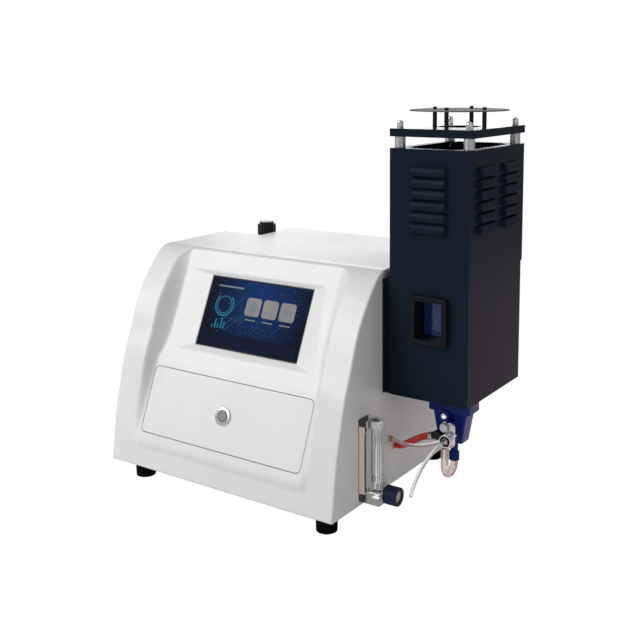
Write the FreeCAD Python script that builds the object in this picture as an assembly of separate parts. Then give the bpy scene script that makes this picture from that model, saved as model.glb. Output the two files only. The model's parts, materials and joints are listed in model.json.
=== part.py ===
import FreeCAD, Part
import math
import os

# Flame photometer: a bench case with a sloping screen front, a burner tower on its right
# side, the sample and gas path under the tower and an air regulator in the rear left corner.
# Millimetres, +Z up, front towards -Y. Sizes are taken from the foot of the case's right side
# plane at the front. Each piece is moved as it is written out, so that the part's origin is
# the middle of its footprint on the bench.

V = FreeCAD.Vector

# Common sizes
overrun = 2.0
fit_gap = 0.3
running_gap = 0.05
sheet = 1.5

# Case: outer form
case_width = 337.5
case_depth = 298.0
case_height = 260.5
foot_height = 26.0
shell_wall = 3.0
edge_radius = 4.0
least_radius = 0.6
front_depth = 114.0
front_profile_shares = [(0.0, 0.0), (0.035, 0.100), (0.092, 0.256), (0.148, 0.356), (0.243, 0.507),
                        (0.334, 0.605), (0.467, 0.7535), (0.639, 0.874), (0.754, 0.937),
                        (0.873, 0.983), (1.0, 1.0)]
seam_depth = 99.0
seam_gap = 0.5
lip_length = 17.0
lip_drop = 12.5
tongue_length = 8.0
tongue_wall = 1.8
rim_width = 12.0
notch_width = 68.0
notch_depth = 74.0

# Front recess and the plateau under it
recess_margin_left = 37.5
recess_margin_right = 37.0
recess_wall_run = 15.0
recess_wall_shares = [(-0.05, -0.06), (0.2, 0.22), (0.45, 0.55), (0.75, 0.86), (1.0, 1.0)]
recess_top = 258.0
recess_corner = 20.0
bulge_start = 24.0
plateau_start = 34.0
plateau_setback = 1.8
plateau_tilt = 22.67
plateau_top = 129.2
ledge_run = 10.0
ledge_drop = 3.2
floor_tilt = 25.03
tool_reach = 30.0
halvings = 40

# Screen window and display
display_width = 154.0
display_height = 86.8
display_centre_x = -165.4
display_centre_height = 189.5
display_surround = 4.0
bevel_depth = 4.0
bevel_left = 31.0
bevel_right_top = 17.5
bevel_right_bottom = 30.0
bevel_top = 6.5
bevel_bottom = 7.5
module_border = 9.0
module_thick = 9.0
driver_board_width = 120.0
driver_board_height = 70.0
driver_board_thick = 5.0

# Lower panel and ignition button
panel_width = 243.0
panel_height = 81.7
panel_centre_height = 81.6
panel_thick = 1.5
panel_corner = 6.0
panel_seam = 0.5
button_drop = 0.6
bezel_head_radius = 11.0
bezel_head_thick = 2.4
bezel_thread_radius = 9.5
bezel_length = 24.0
bezel_nut_across = 22.0
bezel_nut_thick = 3.0
bezel_head_round = 1.32
button_cap_radius = 7.2
button_cap_proud = 0.6
button_cap_thick = 3.6
button_stem_radius = 3.0
button_stem_length = 12.0
button_travel = 2.2
button_dish_radius = 5.6
button_dish_depth = 0.4

# Base plate and feet
base_flange = 12.0
foot_inset_right = 28.0
foot_inset_left = 28.0
foot_front = 31.0
foot_rear_inset = 19.0
foot_radius = 13.0
foot_tip_radius = 12.2
foot_recess_radius = 4.8
foot_recess_depth = 10.0
boss_radius = 3.6
boss_height = 6.0
foot_boss_radius = 6.0

# Pan head screws, M4
screw_radius = 1.95
screw_head_radius = 3.9
screw_head_height = 2.4
screw_slot_width = 1.0
screw_slot_depth = 1.1
screw_slot_reach = 2.145
screw_hole_gap = 0.15
screw_short = 5.0
chamber_screw_length = 10.0

# Rear panel and what sits in it
rear_vent_count = 7
rear_vent_width = 3.0
rear_vent_height = 42.0
rear_vent_pitch = 9.0
rear_vent_x = -80.0
rear_vent_centre = 200.0
rear_screw_inset = 8.0
rear_seat_raise = 8.4
rear_vent_corner = 1.35
inlet_x = -220.0
inlet_z = 78.0
inlet_flange_width = 36.0
inlet_flange_height = 74.0
inlet_flange_thick = 3.0
inlet_body_width = 29.0
inlet_body_height = 66.0
inlet_body_depth = 24.0
socket_width = 24.6
socket_height = 17.0
socket_depth = 18.0
socket_offset = -22.0
socket_chamfer = 4.5
pin_width = 4.0
pin_thick = 2.0
pin_length = 11.0
pin_pitch = 14.0
pin_raise = 2.0
fuse_width = 24.0
fuse_height = 11.0
fuse_depth = 20.0
fuse_offset = -3.5
fuse_front_proud = 1.6
fuse_grip_height = 3.0
rocker_width = 20.0
rocker_height = 13.0
rocker_offset = 17.0
rocker_depth = 10.0
rocker_proud = 3.2
rocker_pin_radius = 1.5
rocker_angle = 14.0
serial_x = -130.0
serial_z = 70.0
serial_width = 31.0
serial_height = 12.6
serial_plate_thick = 1.2
serial_shell_width = 17.0
serial_shell_height = 8.6
serial_shell_proud = 5.4
serial_taper = 1.2
serial_body_depth = 9.0
serial_jack_across = 5.0
serial_jack_length = 5.0
serial_jack_pitch = 25.0
serial_pin_rows = ((1, 5), (-1, 4))

# Hose fittings: a hexagon, a neck and barbs
barb_hex_across = 12.0
barb_hex_length = 5.0
barb_neck_radius = 2.6
barb_rib_radius = 3.7
barb_rib_length = 3.2
barb_rib_count = 3
barb_thread_radius = 4.2
barb_thread_length = 9.0
fuel_inlet_x = -60.0
fuel_inlet_z = 70.0

# Inside the case
supply_inset = 22.5
supply_setback = 12.0
supply_width = 62.0
supply_depth = 92.0
supply_height = 36.0
supply_wall = 1.2
supply_vent_count = 6
supply_terminal_inset = 12.4
board_gap = 17.0
board_setback = 28.0
board_width = 150.0
board_depth = 100.0
board_thick = 1.6
chip_side = 22.0
chip_thick = 2.4
chip_offset_x = 46.0
chip_offset_y = 52.0
capacitor_radius = 6.0
capacitor_height = 14.0
capacitor_pitch = 16.0
capacitor_count = 3
header_count = 3
header_width = 34.0
header_depth = 6.0
header_height = 9.0
valve_inset = 62.0
valve_setback = 72.0
valve_width = 34.0
valve_depth = 26.0
valve_height = 20.0
coil_radius = 12.0
coil_height = 30.0
coil_cap_radius = 4.0
coil_cap_height = 4.0
igniter_inset = 60.0
igniter_y = 40.0
igniter_width = 40.0
igniter_depth = 34.0
igniter_height = 26.0
igniter_terminal_radius = 4.0
igniter_terminal_height = 10.0

# Burner tower
bracket_width = 11.3
bracket_wall = 3.0
bracket_groove = 1.7
bracket_groove_depth = 7.0
bracket_groove_pitch = 3.6
tower_width = 96.2
tower_depth = 138.0
tower_front = 104.2
tower_bottom = 144.3
bracket_height = 132.9
lower_height = 143.1
upper_height = 137.8
tower_step = 1.0
tower_flange = 10.0
louver_count = 6
louver_width = 47.6
louver_pitch = 12.4
louver_height = 10.7
louver_proud = 5.0
louver_taper = 3.4
louver_wall = 1.0
louver_side_wall = 1.2
louver_corner = 6.0
louver_arc_steps = 4
louver_top_shares = [(0.34, 1.0), (0.62, 0.9), (0.8, 0.72), (0.92, 0.42), (1.0, 0.0)]
louver_first = 109.1
louver_shift = -0.6
side_louver_width = 46.5
side_louver_front_shift = -29.9
side_louver_rear_shift = 32.0

# Window in the lower housing
window_width = 45.2
window_height = 54.6
window_centre_shift = 2.2
window_centre_height = 92.7
window_proud = 6.0
window_border = 6.0
window_corner = 3.0
window_tunnel = 18.0
window_tunnel_wall = 1.5
window_glass_thick = 2.0
window_lip = 1.0
window_round = 1.05

# Top of the tower
standoff_radius = 6.0
standoff_height = 19.9
standoff_spread_x = 84.0
standoff_spread_y = 119.0
stud_radius = 2.4
stud_length = 7.0
gusset_width = 18.0
gusset_depth = 20.0
tray_width = 101.3
tray_depth = 135.3
tray_rim = 8.8
tray_hole_radius = 25.0
nut_across = 7.4
nut_height = 3.4
nut_dome_height = 5.6
nut_dome_radius = 3.478
nut_dome_round = 3.34
post_circle = 31.0
post_radius = 2.5
post_height = 22.2
post_tip_radius = 1.6
post_cap_radius = 2.25
post_shoulder = 4.2
disc_radius = 56.0
disc_thick = 1.2

# Mixing chamber and burner
chamber_x = 71.0
chamber_y = 145.5
chamber_flange_width = 52.0
chamber_flange_depth = 31.0
chamber_flange_thick = 18.3
chamber_corner = 5.0
chamber_top_width = 42.0
chamber_bottom_width = 30.0
chamber_depth = 24.0
chamber_height = 36.0
chamber_bottom_depth = 20.0
chamber_boss_width = 10.0
chamber_boss_depth = 8.0
chamber_boss_height = 44.0
chamber_boss_shift = -3.0
spigot_radius = 10.0
spigot_height = 14.0
bore_radius = 8.0
chamber_wall = 4.0
burner_bore_gap = 0.2
burner_radius = 12.0
burner_height = 62.0
burner_head_radius = 20.0
burner_head_thick = 4.0
burner_tip_radius = 11.0
burner_tip_height = 6.0
burner_port_radius = 0.9
burner_port_circle = 6.5
burner_port_count = 8
shield_radius = 19.0
shield_wall = 1.6
shield_height = 92.0
electrode_radius = 1.4
electrode_offset = 14.2
electrode_height = 72.0
electrode_base_width = 12.0
electrode_base_depth = 9.0
electrode_base_height = 8.0

# Light path from the flame to the detector
lens_tube_radius = 13.0
lens_tube_wall = 1.5
lens_tube_reach = 48.0
lens_thick = 4.0
filter_thick = 5.0
filter_setback = 4.0
detector_flange_side = 55.0
detector_flange_thick = 4.0
detector_neck_length = 18.0
detector_neck_wall = 3.0
detector_length = 62.0
detector_side = 52.0
detector_wall = 2.0

# Drain and nebulizer
drain_x = 72.3
drain_y = 145.0
drain_spigot_radius = 4.4
drain_spigot_length = 14.0
drain_nut_radius = 6.0
drain_nut_length = 10.0
drain_nut_groove = 0.7
drain_groove_shares = (0.3, 0.62)
nebulizer_x = 80.0
nebulizer_z = 101.5
nebulizer_rod_radius = 3.0
nebulizer_ring_radius = 7.3
nebulizer_groove_radius = 6.1
nebulizer_groove_depth = 3.0
nebulizer_ring_front = 106.0
nebulizer_ring_length = 10.0
nebulizer_nose_length = 3.6
nebulizer_nose_radius = 2.0
nebulizer_shoulder_radius = 3.6
nebulizer_barb_radius = 1.9
nebulizer_barb_reach = 9.6
nebulizer_barb_tilt = 24.0
nebulizer_flute_count = 24
nebulizer_flute_radius = 0.55
clamp_width = 10.4
clamp_thick = 3.0
clamp_front = 118.0
clamp_bottom = 90.0
clamp_top = 119.0
clamp_ear_radius = 5.2
clamp_screw_x = 74.0
clamp_screw_z = 113.6
clamp_screw_radius = 5.0
clamp_screw_thick = 4.0
clamp_pin_radius = 1.8
clamp_standoff = 0.4
clamp_pin_grip = 6.0

# Gas fitting on the chamber's left side
gas_fitting_x = 62.0
gas_fitting_y = 128.0
gas_tube_end_y = 123.0
gas_elbow_side = 9.0
gas_stub_radius = 3.0
gas_barb_z = 100.0
gas_nozzle_tilt = 16.0
gas_ring_start = 6.0
gas_ring_radius = 4.6
gas_ring_length = 5.0

# Flow meter
meter_width = 26.8
meter_depth = 20.8
meter_front = 53.4
meter_bottom = 32.0
meter_height = 95.3
meter_chamfer = 1.0
meter_bore_x = 16.0
meter_bore_y = 63.0
meter_bore_radius = 3.3
meter_bore_bottom = 55.0
meter_plug_radius = 7.0
meter_plug_height = 8.0
meter_plug_socket = 4.0
meter_valve_z = 44.7
meter_valve_bore = 3.0
meter_valve_start = 9.0
meter_gland_across = 12.0
meter_gland_length = 3.2
meter_insert_radius = 3.5
meter_insert_depth = 7.0
meter_insert_low = 44.5
meter_insert_high = 115.0
meter_insert_setback = 5.5
float_radius = 2.6
float_length = 7.0
knob_radius = 10.5
knob_length = 16.0
knob_gap = 1.0
knob_cap_radius = 6.4
knob_cap_thick = 1.2
knob_cap_sink = 1.0
knob_cap_round = 0.42
knob_flute_radius = 0.7
knob_flute_count = 24
stem_radius = 2.6
stem_tip_length = 4.0
scale_width = 12.0
scale_height = 46.0
scale_bottom = 53.0
scale_thick = 0.4
strip_inset_low = 9.53
strip_inset_high = 7.62

# Air filter and regulator in the corner behind the case
regulator_setback_x = 20.5
regulator_setback_y = 40.0
regulator_side = 32.0
regulator_bottom = 215.0
regulator_height = 50.0
regulator_bonnet_radius = 10.6
regulator_bonnet_height = 14.0
regulator_knob_radius = 13.0
regulator_knob_gap = 7.0
regulator_knob_height = 24.0
regulator_knob_top_radius = 10.0
regulator_knob_top_height = 3.0
regulator_flute_count = 18
regulator_flute_radius = 1.1
bowl_radius = 15.0
bowl_wall = 2.0
bowl_height = 58.0
bowl_collar_height = 8.0
bowl_collar_radius = 16.6
drain_cock_radius = 4.0
drain_cock_length = 10.0
drain_cock_wing = 7.0
drain_cock_wing_thick = 2.0
drain_cock_bore = 2.0
bracket_plate_height = 56.0
bracket_plate_depth = 30.0
bracket_tongue_thick = 1.5
bracket_screw_inset = 5.85
bracket_screw_raise = 11.7
gauge_radius = 18.0
gauge_length = 14.0
gauge_stem_radius = 4.0
gauge_stem_length = 8.0
gauge_rim = 2.0
gauge_dial_depth = 5.0
gauge_pin_radius = 1.0
gauge_needle_length = 12.0
gauge_needle_tail = 4.0
gauge_needle_width = 1.4
gauge_needle_thick = 0.6
gauge_needle_raise = 1.4
gauge_start_angle = 225.0
gauge_height = 28.0

# Side ports and the free tubes
air_port_y = 112.0
air_port_z = 87.0
gas_port_y = 133.5
gas_port_z = 72.0
air_port_reach = 8.0
air_port_radius = 4.0
gas_port_reach = 2.0
gas_port_radius = 6.0
air_tube_radius = 2.0
gas_tube_radius = 4.0
sample_tube_radius = 2.0
drain_tube_radius = 4.5
run_share = 0.45

# Places that several pieces share
case_left = -case_width
case_top = foot_height + case_height
seam_height = case_top - lip_drop
notch_x = case_left + notch_width
notch_y = case_depth - notch_depth
floor_top = foot_height + shell_wall + sheet
recess_left = case_left + recess_margin_left
recess_right = -recess_margin_right
plateau_slope = math.tan(math.radians(plateau_tilt))
floor_slope = math.tan(math.radians(floor_tilt))
plateau_low_z = foot_height + plateau_start
plateau_high_z = foot_height + plateau_top
ledge_z = plateau_high_z + ledge_run
ledge_y = plateau_setback + (plateau_top + ledge_run - plateau_start) * plateau_slope + ledge_drop
tower_x = bracket_width + tower_width / 2
tower_y = tower_front + tower_depth / 2
tower_split = tower_bottom + lower_height
tower_top = tower_split + upper_height
tray_top = tower_top + standoff_height + sheet
tray_bottom = tray_top - tray_rim
disc_bottom = tray_top + post_height - post_shoulder
chamber_flange_bottom = tower_bottom - chamber_flange_thick
chamber_bottom = chamber_flange_bottom - chamber_height
light_height = tower_bottom + window_centre_height
supply_x = case_left + supply_inset
supply_y = notch_y - supply_setback - supply_depth
board_x = supply_x + supply_width + board_gap
board_y = notch_y - board_setback - board_depth
valve_x = -valve_inset
valve_y = case_depth - valve_setback
igniter_x = -igniter_inset
regulator_x = notch_x - regulator_setback_x
regulator_y = notch_y + regulator_setback_y
rear_edge = case_depth + barb_hex_length + barb_rib_length * (barb_rib_count + 1)


# Simple bodies

def block(x0, x1, y0, y1, z0, z1):
    """A box between two corners."""
    return Part.makeBox(x1 - x0, y1 - y0, z1 - z0, V(x0, y0, z0))


def centred(x, y, width, depth, z0, z1):
    """An upright box about an axis."""
    return block(x - width / 2, x + width / 2, y - depth / 2, y + depth / 2, z0, z1)


def rod(radius, start, end):
    """A cylinder from one point to another."""
    run = end - start
    return Part.makeCylinder(radius, run.Length, start, run)


def cone(first, last, start, end):
    """A cone from one point to another."""
    run = end - start
    return Part.makeCone(first, last, run.Length, start, run)


def pipe(outer, inner, start, end):
    """A round tube from one point to another."""
    step = (end - start).normalize() * overrun
    return rod(outer, start, end).cut(rod(inner, start - step, end + step))


def upright(radius, x, y, z0, z1):
    """An upright cylinder."""
    return rod(radius, V(x, y, z0), V(x, y, z1))


def joined(first, *others):
    """One solid of several that touch or overlap."""
    return first.fuse(list(others)).removeSplitter()


def polygon(points):
    """A flat face inside a closed row of points."""
    return Part.Face(Part.makePolygon(points + [points[0]]))


def prism_along_x(outline, x0, x1):
    """A body with one (y, z) outline, from x0 to x1."""
    return polygon([V(x0, y, z) for y, z in outline]).extrude(V(x1 - x0, 0, 0))


def prism_up(outline, z0, z1):
    """A body with one (x, y) outline, from z0 to z1."""
    return polygon([V(x, y, z0) for x, y in outline]).extrude(V(0, 0, z1 - z0))


def hexagon(across, start, end):
    """A hexagonal bar of a size across flats, from one point to another."""
    run = end - start
    radius = across / math.sqrt(3)
    corners = [V(radius * math.cos(math.radians(60 * i)), radius * math.sin(math.radians(60 * i)), 0)
               for i in range(6)]
    bar = polygon(corners).extrude(V(0, 0, run.Length))
    bar.Placement = FreeCAD.Placement(start, FreeCAD.Rotation(V(0, 0, 1), run))
    return bar


def rounded_plate(width, height, corner, low, high):
    """A plate with round corners about the Z axis, between two heights."""
    plate = Part.makeBox(width, height, high - low, V(-width / 2, -height / 2, low))
    upright_edges = [e for e in plate.Edges if abs(e.Vertexes[0].Z - e.Vertexes[1].Z) > (high - low) / 2]
    return plate.makeFillet(corner, upright_edges)


def fluted(radius, flute, count, start, end):
    """A round body with grooves along its side."""
    body = rod(radius, start, end)
    grooves = []
    run = end - start
    across = FreeCAD.Rotation(V(0, 0, 1), run).multVec(V(1, 0, 0))
    for i in range(count):
        arm = FreeCAD.Rotation(run, 360 * i / count).multVec(across) * radius
        grooves.append(rod(flute, start + arm, end + arm))
    return body.cut(grooves)


def on_slope(shape, tilt, x, y, z):
    """Stands a body drawn about +Z on a slope that leans back by tilt, with +Z outwards."""
    turned = shape.copy()
    turned.rotate(V(0, 0, 0), V(1, 0, 0), 90 - tilt)
    turned.translate(V(x, y, z))
    return turned


def moved(shape, x, y, z):
    """A copy of a body, moved."""
    copy = shape.copy()
    copy.translate(V(x, y, z))
    return copy


def pan_screw(seat, outward, length):
    """A pan head screw whose head stands on seat and whose shank goes the other way."""
    out = V(outward).normalize()
    head = Part.makeCylinder(screw_head_radius, screw_head_height, V(0, 0, 0), V(0, 0, 1))
    top_edge = [e for e in head.Edges if e.BoundBox.ZMin > screw_head_height / 2]
    head = head.makeFillet(screw_head_height / 2, top_edge)
    shank = Part.makeCylinder(screw_radius, length, V(0, 0, -length), V(0, 0, 1))
    half = screw_slot_width / 2
    low = screw_head_height - screw_slot_depth
    reach = screw_slot_reach
    slots = [block(-reach, reach, -half, half, low, screw_head_height + overrun),
             block(-half, half, -reach, reach, low, screw_head_height + overrun)]
    screw = joined(head, shank).cut(slots)
    screw.Placement = FreeCAD.Placement(V(seat), FreeCAD.Rotation(V(0, 0, 1), out))
    return screw


def screw_hole(seat, outward, depth):
    """The hole that such a screw's shank passes through."""
    out = V(outward).normalize()
    return rod(screw_radius + screw_hole_gap, seat + out * overrun, seat - out * depth)


# Case form

def profile_points(inset):
    """The points of the front's curve, moved inwards by inset."""
    points = [V(0, share_y * front_depth, foot_height + share_z * case_height)
              for share_y, share_z in front_profile_shares]
    shifted = []
    for i, point in enumerate(points):
        if i == len(points) - 1:
            inward = V(0, 0, -1)
        else:
            along = points[i + 1] - points[max(i - 1, 0)]
            inward = V(0, along.z, -along.y).normalize()
        shifted.append(point + inward * inset)
    return shifted


def profile_curve(inset):
    """The front's curve as one smooth line that runs level into the top."""
    points = profile_points(inset)
    curve = Part.BSplineCurve()
    start = points[1] - points[0]
    curve.interpolate(Points=points, InitialTangent=start.normalize(), FinalTangent=V(0, 1, 0))
    return curve


def case_form(inset, back, bottom):
    """The whole case's outer form moved inwards by inset, with its corner still uncut."""
    curve = profile_curve(inset)
    start = curve.value(curve.FirstParameter)
    end = curve.value(curve.LastParameter)
    corners = [end, V(0, back, end.z), V(0, back, start.z), start]
    edges = [curve.toShape()] + [Part.makeLine(corners[i], corners[i + 1]) for i in range(3)]
    x0 = case_left + inset
    x1 = -inset
    face = Part.Face(Part.Wire(edges))
    face.translate(V(x0, 0, 0))
    form = face.extrude(V(x1 - x0, 0, 0))
    sides = [e for e in form.Edges
             if e.BoundBox.XLength < inset + fit_gap and e.BoundBox.YLength > front_depth / 2
             and e.BoundBox.ZMax > start.z + fit_gap]
    form = form.makeFillet(max(edge_radius - inset, least_radius), sides)
    if bottom < start.z:
        form = form.fuse(block(x0, x1, start.y, back, bottom, start.z)).removeSplitter()
    elif bottom > start.z:
        form = form.cut(block(x0 - overrun, x1 + overrun, start.y - front_depth, back + overrun,
                              start.z - overrun, bottom))
    return form


def corner_cut(grow):
    """The corner behind the case where the regulator stands, grown into the case."""
    return block(case_left - overrun, notch_x + grow, notch_y - grow, case_depth + overrun * 2,
                 foot_height - overrun * 2, case_top + overrun)


def front_zone(gap):
    """The space of the front shell: up to the seam, and a little further over the top."""
    low = block(case_left - overrun, overrun, -front_depth, seam_depth + gap,
                foot_height - overrun, case_top + overrun)
    lip = block(case_left - overrun, overrun, -front_depth, seam_depth + lip_length + gap,
                seam_height - gap, case_top + overrun)
    return low.fuse(lip).removeSplitter()


def profile_depth(height):
    """Where the front's curve stands at a height."""
    curve = profile_curve(0)
    low, high = curve.FirstParameter, curve.LastParameter
    for _ in range(halvings):
        middle = (low + high) / 2
        if curve.value(middle).z < height:
            low = middle
        else:
            high = middle
    return curve.value(low).y


def recess_depth(height):
    """Where the floor of the recess stands at a height: plateau, ledge, then screen floor."""
    if height <= plateau_high_z:
        return plateau_setback + (height - plateau_low_z) * plateau_slope
    plateau_edge = plateau_setback + (plateau_high_z - plateau_low_z) * plateau_slope
    if height < ledge_z:
        return plateau_edge + (height - plateau_high_z) / ledge_run * (ledge_y - plateau_edge)
    return ledge_y + (height - ledge_z) * floor_slope


def recess_tool(grow):
    """The space in front of the recess, with side walls that slope and round top corners."""
    inward = V(0, math.cos(math.radians(floor_tilt)), -math.sin(math.radians(floor_tilt)))
    start_z = foot_height + bulge_start
    top_z = foot_height + recess_top
    plateau_heights = [plateau_low_z + (plateau_high_z - plateau_low_z) * i / 3 for i in range(4)]
    floor_shares = [0.0, 0.2, 0.4, 0.6, 0.8, 1.0]

    def station(x_share, depth_share):
        wall_x = max(min(x_share, 1.0), 0.0) * recess_wall_run
        fall = recess_corner - math.sqrt(max(recess_corner ** 2 - (recess_corner - wall_x) ** 2, 0.0))
        station_top = top_z - (fall if wall_x < recess_corner else 0.0)
        heights = plateau_heights + [ledge_z + (station_top - ledge_z) * s for s in floor_shares]
        row = [V(0, profile_depth(start_z), start_z)]
        for height in heights:
            outer = profile_depth(height)
            row.append(V(0, outer + (recess_depth(height) - outer) * depth_share, height))
        row = [p + inward * grow for p in row]
        far = -tool_reach
        return row + [V(0, far, row[-1].z + tool_reach / 2), V(0, far, row[0].z - tool_reach / 2)]

    left = [(recess_left - grow + s * recess_wall_run, station(s, d)) for s, d in recess_wall_shares]
    right = [(recess_right + grow - s * recess_wall_run, station(s, d))
             for s, d in reversed(recess_wall_shares)]
    wires = []
    for x, points in left + right:
        placed = [V(x, p.y, p.z) for p in points]
        wires.append(Part.makePolygon(placed + [placed[0]]))
    return Part.makeLoft(wires, True, True)


def screen_point(height):
    """The point of the glass plane at a height above the case's underside, at the display's middle."""
    slope = math.radians(floor_tilt)
    glass_y = ledge_y + (foot_height + height - ledge_z) * floor_slope + bevel_depth / math.cos(slope)
    return V(display_centre_x, glass_y, foot_height + height)


def screen_pocket(grow):
    """The shallow pocket round the screen, whose sides slope in to the glass."""
    window_half = display_width / 2 + display_surround / 4
    window_rise = display_height / 2 + display_surround / 4
    low = -grow
    high = bevel_depth + overrun / 4
    scale = high / bevel_depth

    def corners(spread, z):
        return [V(-window_half - bevel_left * spread - grow, -window_rise - bevel_bottom * spread - grow, z),
                V(window_half + bevel_right_bottom * spread + grow,
                  -window_rise - bevel_bottom * spread - grow, z),
                V(window_half + bevel_right_top * spread + grow,
                  window_rise + bevel_top * spread + grow, z),
                V(-window_half - bevel_left * spread - grow, window_rise + bevel_top * spread + grow, z)]

    wires = []
    for spread, z in ((0.0, low), (scale, high)):
        points = corners(spread, z)
        wires.append(Part.makePolygon(points + [points[0]]))
    pocket = Part.makeLoft(wires, True, True)
    middle = screen_point(display_centre_height)
    return on_slope(pocket, floor_tilt, middle.x, middle.y, middle.z)


def on_screen(shape):
    """Places a body drawn about the middle of the glass."""
    middle = screen_point(display_centre_height)
    return on_slope(shape, floor_tilt, middle.x, middle.y, middle.z)


panel_centre_x = (recess_left + recess_right) / 2 - fit_gap


def on_panel(shape):
    """Places a body drawn about the middle of the lower panel's front."""
    height = foot_height + panel_centre_height
    depth = plateau_setback + (height - plateau_low_z) * plateau_slope
    return on_slope(shape, plateau_tilt, panel_centre_x, depth, height)


def on_button(shape):
    """Places a body drawn about the button's axis at the lower panel's front."""
    lowered = moved(shape, 0, -button_drop, 0)
    return on_panel(lowered)


def make_front_shell():
    """The moulded front: one wall thickness, sloping recess, pockets and a tongue for the cover."""
    outer = case_form(0, case_depth, foot_height)
    bulge = block(recess_left, recess_right, -plateau_setback * 2, plateau_setback + shell_wall * 2,
                  foot_height + bulge_start, plateau_low_z + plateau_start)
    outer = outer.fuse(bulge).common(front_zone(0))
    outer = outer.cut([recess_tool(0), screen_pocket(0)])
    inner = case_form(shell_wall, case_depth + overrun, foot_height + shell_wall)
    inner = inner.cut([recess_tool(shell_wall), screen_pocket(shell_wall)])
    shell = outer.cut(inner)
    tongue_zone = front_zone(tongue_length).cut(front_zone(-shell_wall))
    tongue = case_form(sheet + fit_gap, case_depth, floor_top + shell_wall)
    tongue = tongue.cut(case_form(sheet + fit_gap + tongue_wall, case_depth + overrun, foot_height))
    shell = shell.fuse(tongue.common(tongue_zone))
    rim = block(case_left + rim_width, -rim_width, profile_depth(foot_height) + rim_width,
                seam_depth + lip_length, foot_height - overrun, foot_height + shell_wall + overrun)
    window = rounded_plate(display_width + display_surround / 2, display_height + display_surround / 2,
                           fit_gap, -shell_wall - overrun, overrun)
    pocket = rounded_plate(panel_width + panel_seam * 2, panel_height + panel_seam * 2,
                           panel_corner + panel_seam, -panel_thick, overrun * 2)
    hole = Part.makeCylinder(bezel_thread_radius + fit_gap, shell_wall * 3, V(0, 0, -shell_wall * 2))
    cuts = [rim, on_screen(window), on_panel(pocket), on_button(hole)]
    cuts += [rod(meter_insert_radius + fit_gap, V(-shell_wall * 2, y, z), V(overrun, y, z))
             for y, z in meter_insert_places()]
    return shell.cut(cuts)


def make_rear_cover():
    """The bent sheet cover of the sides and the top, with its corner cut out."""
    outer = case_form(0, case_depth, foot_height).cut(corner_cut(0))
    inner = case_form(sheet, case_depth + overrun, foot_height - overrun).cut(corner_cut(sheet))
    cover = outer.cut([inner, front_zone(seam_gap)])
    holes = [rod(barb_thread_radius + fit_gap, V(-overrun - sheet, y, z), V(overrun, y, z))
             for y, z in side_ports()]
    holes.append(rod(lens_tube_radius + fit_gap, V(-overrun - sheet, chamber_y, light_height),
                     V(overrun, chamber_y, light_height)))
    holes += [screw_hole(seat, V(-1, 0, 0), shell_wall) for seat in regulator_screw_seats()]
    back = case_depth - sheet
    top = case_top - sheet
    flange = block(notch_x + sheet, -sheet, back - sheet, back, top - base_flange, top)
    cover = joined(cover.cut(holes), flange.common(inner_form()))
    return cover.cut([screw_hole(seat, V(0, 1, 0), sheet * 3) for seat in high_rear_seats()])


def inner_form():
    """The room inside the cover's sheet, a little into the sheet itself."""
    return case_form(sheet - running_gap, case_depth, foot_height)


def side_ports():
    """The places of the two hose ports on the case's right side."""
    return [(air_port_y, air_port_z), (gas_port_y, gas_port_z)]


def meter_insert_places():
    """The places of the two threaded inserts that hold the flow meter on the case."""
    y = meter_front + meter_insert_setback
    return [(y, meter_insert_low), (y, meter_insert_high)]


def regulator_screw_seats():
    """The seats of the screws that hold the regulator's bracket on the corner's wall."""
    span = bracket_plate_depth / 2 - bracket_screw_inset
    z = regulator_bottom + regulator_height - bracket_plate_height + bracket_screw_raise
    return [V(notch_x - sheet, regulator_y + side * span, z) for side in (-1, 1)]


# Pieces of the case

def foot_places():
    """The axes of the four feet."""
    left = case_left + foot_inset_left
    right = -foot_inset_right
    return [(left, foot_front), (right, foot_front), (left, notch_y - foot_rear_inset),
            (right, case_depth - foot_rear_inset)]


def corner_places(x, y, width, depth, inset):
    """Four places near the corners of a rectangle that starts at (x, y)."""
    return [(x + sx, y + sy) for sx in (inset, width - inset) for sy in (inset, depth - inset)]


def board_boss_places():
    """Where the boards and modules stand on the base plate."""
    inset = boss_radius + fit_gap
    places = corner_places(supply_x, supply_y, supply_width, supply_depth, inset)
    places += corner_places(board_x, board_y, board_width, board_depth, inset)
    places += corner_places(valve_x, valve_y, valve_width, valve_depth, inset)
    places += corner_places(igniter_x, igniter_y, igniter_width, igniter_depth, inset)
    return places


def make_base_plate():
    """The bottom tray: plate, turned up edges, bosses for boards and for the feet's screws."""
    low = foot_height + shell_wall
    side = sheet + fit_gap
    front = shell_wall + fit_gap
    front_y = profile_depth(floor_top) + front
    back = case_depth - sheet
    outline = [(case_left + front, front_y), (-front, front_y), (-front, seam_depth), (-side, seam_depth),
               (-side, back), (notch_x + side, back), (notch_x + side, notch_y - side),
               (case_left + side, notch_y - side), (case_left + side, seam_depth),
               (case_left + front, seam_depth)]
    plate = prism_up(outline, low, floor_top)
    start = seam_depth + lip_length + tongue_length
    top = floor_top + base_flange
    parts = [block(-side - sheet, -side, start, back, low, top),
             block(case_left + side, case_left + side + sheet, start, notch_y - side, low, top),
             block(notch_x + side, -side, back - sheet, back, low, top),
             block(notch_x + side, notch_x + side + sheet, notch_y - side, back, low, top),
             block(case_left + side, notch_x + side + sheet, notch_y - side - sheet, notch_y - side,
                   low, top)]
    parts += [upright(boss_radius, x, y, low, floor_top + boss_height) for x, y in board_boss_places()]
    parts += [upright(foot_boss_radius, x, y, low, floor_top + boss_height) for x, y in foot_places()]
    plate = joined(plate, *parts)
    holes = [upright(screw_radius + screw_hole_gap, x, y, low - overrun, floor_top + boss_height + overrun)
             for x, y in foot_places()]
    holes += [screw_hole(seat, V(0, 1, 0), sheet * 3) for seat in low_rear_seats()]
    return plate.cut(holes)


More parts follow.
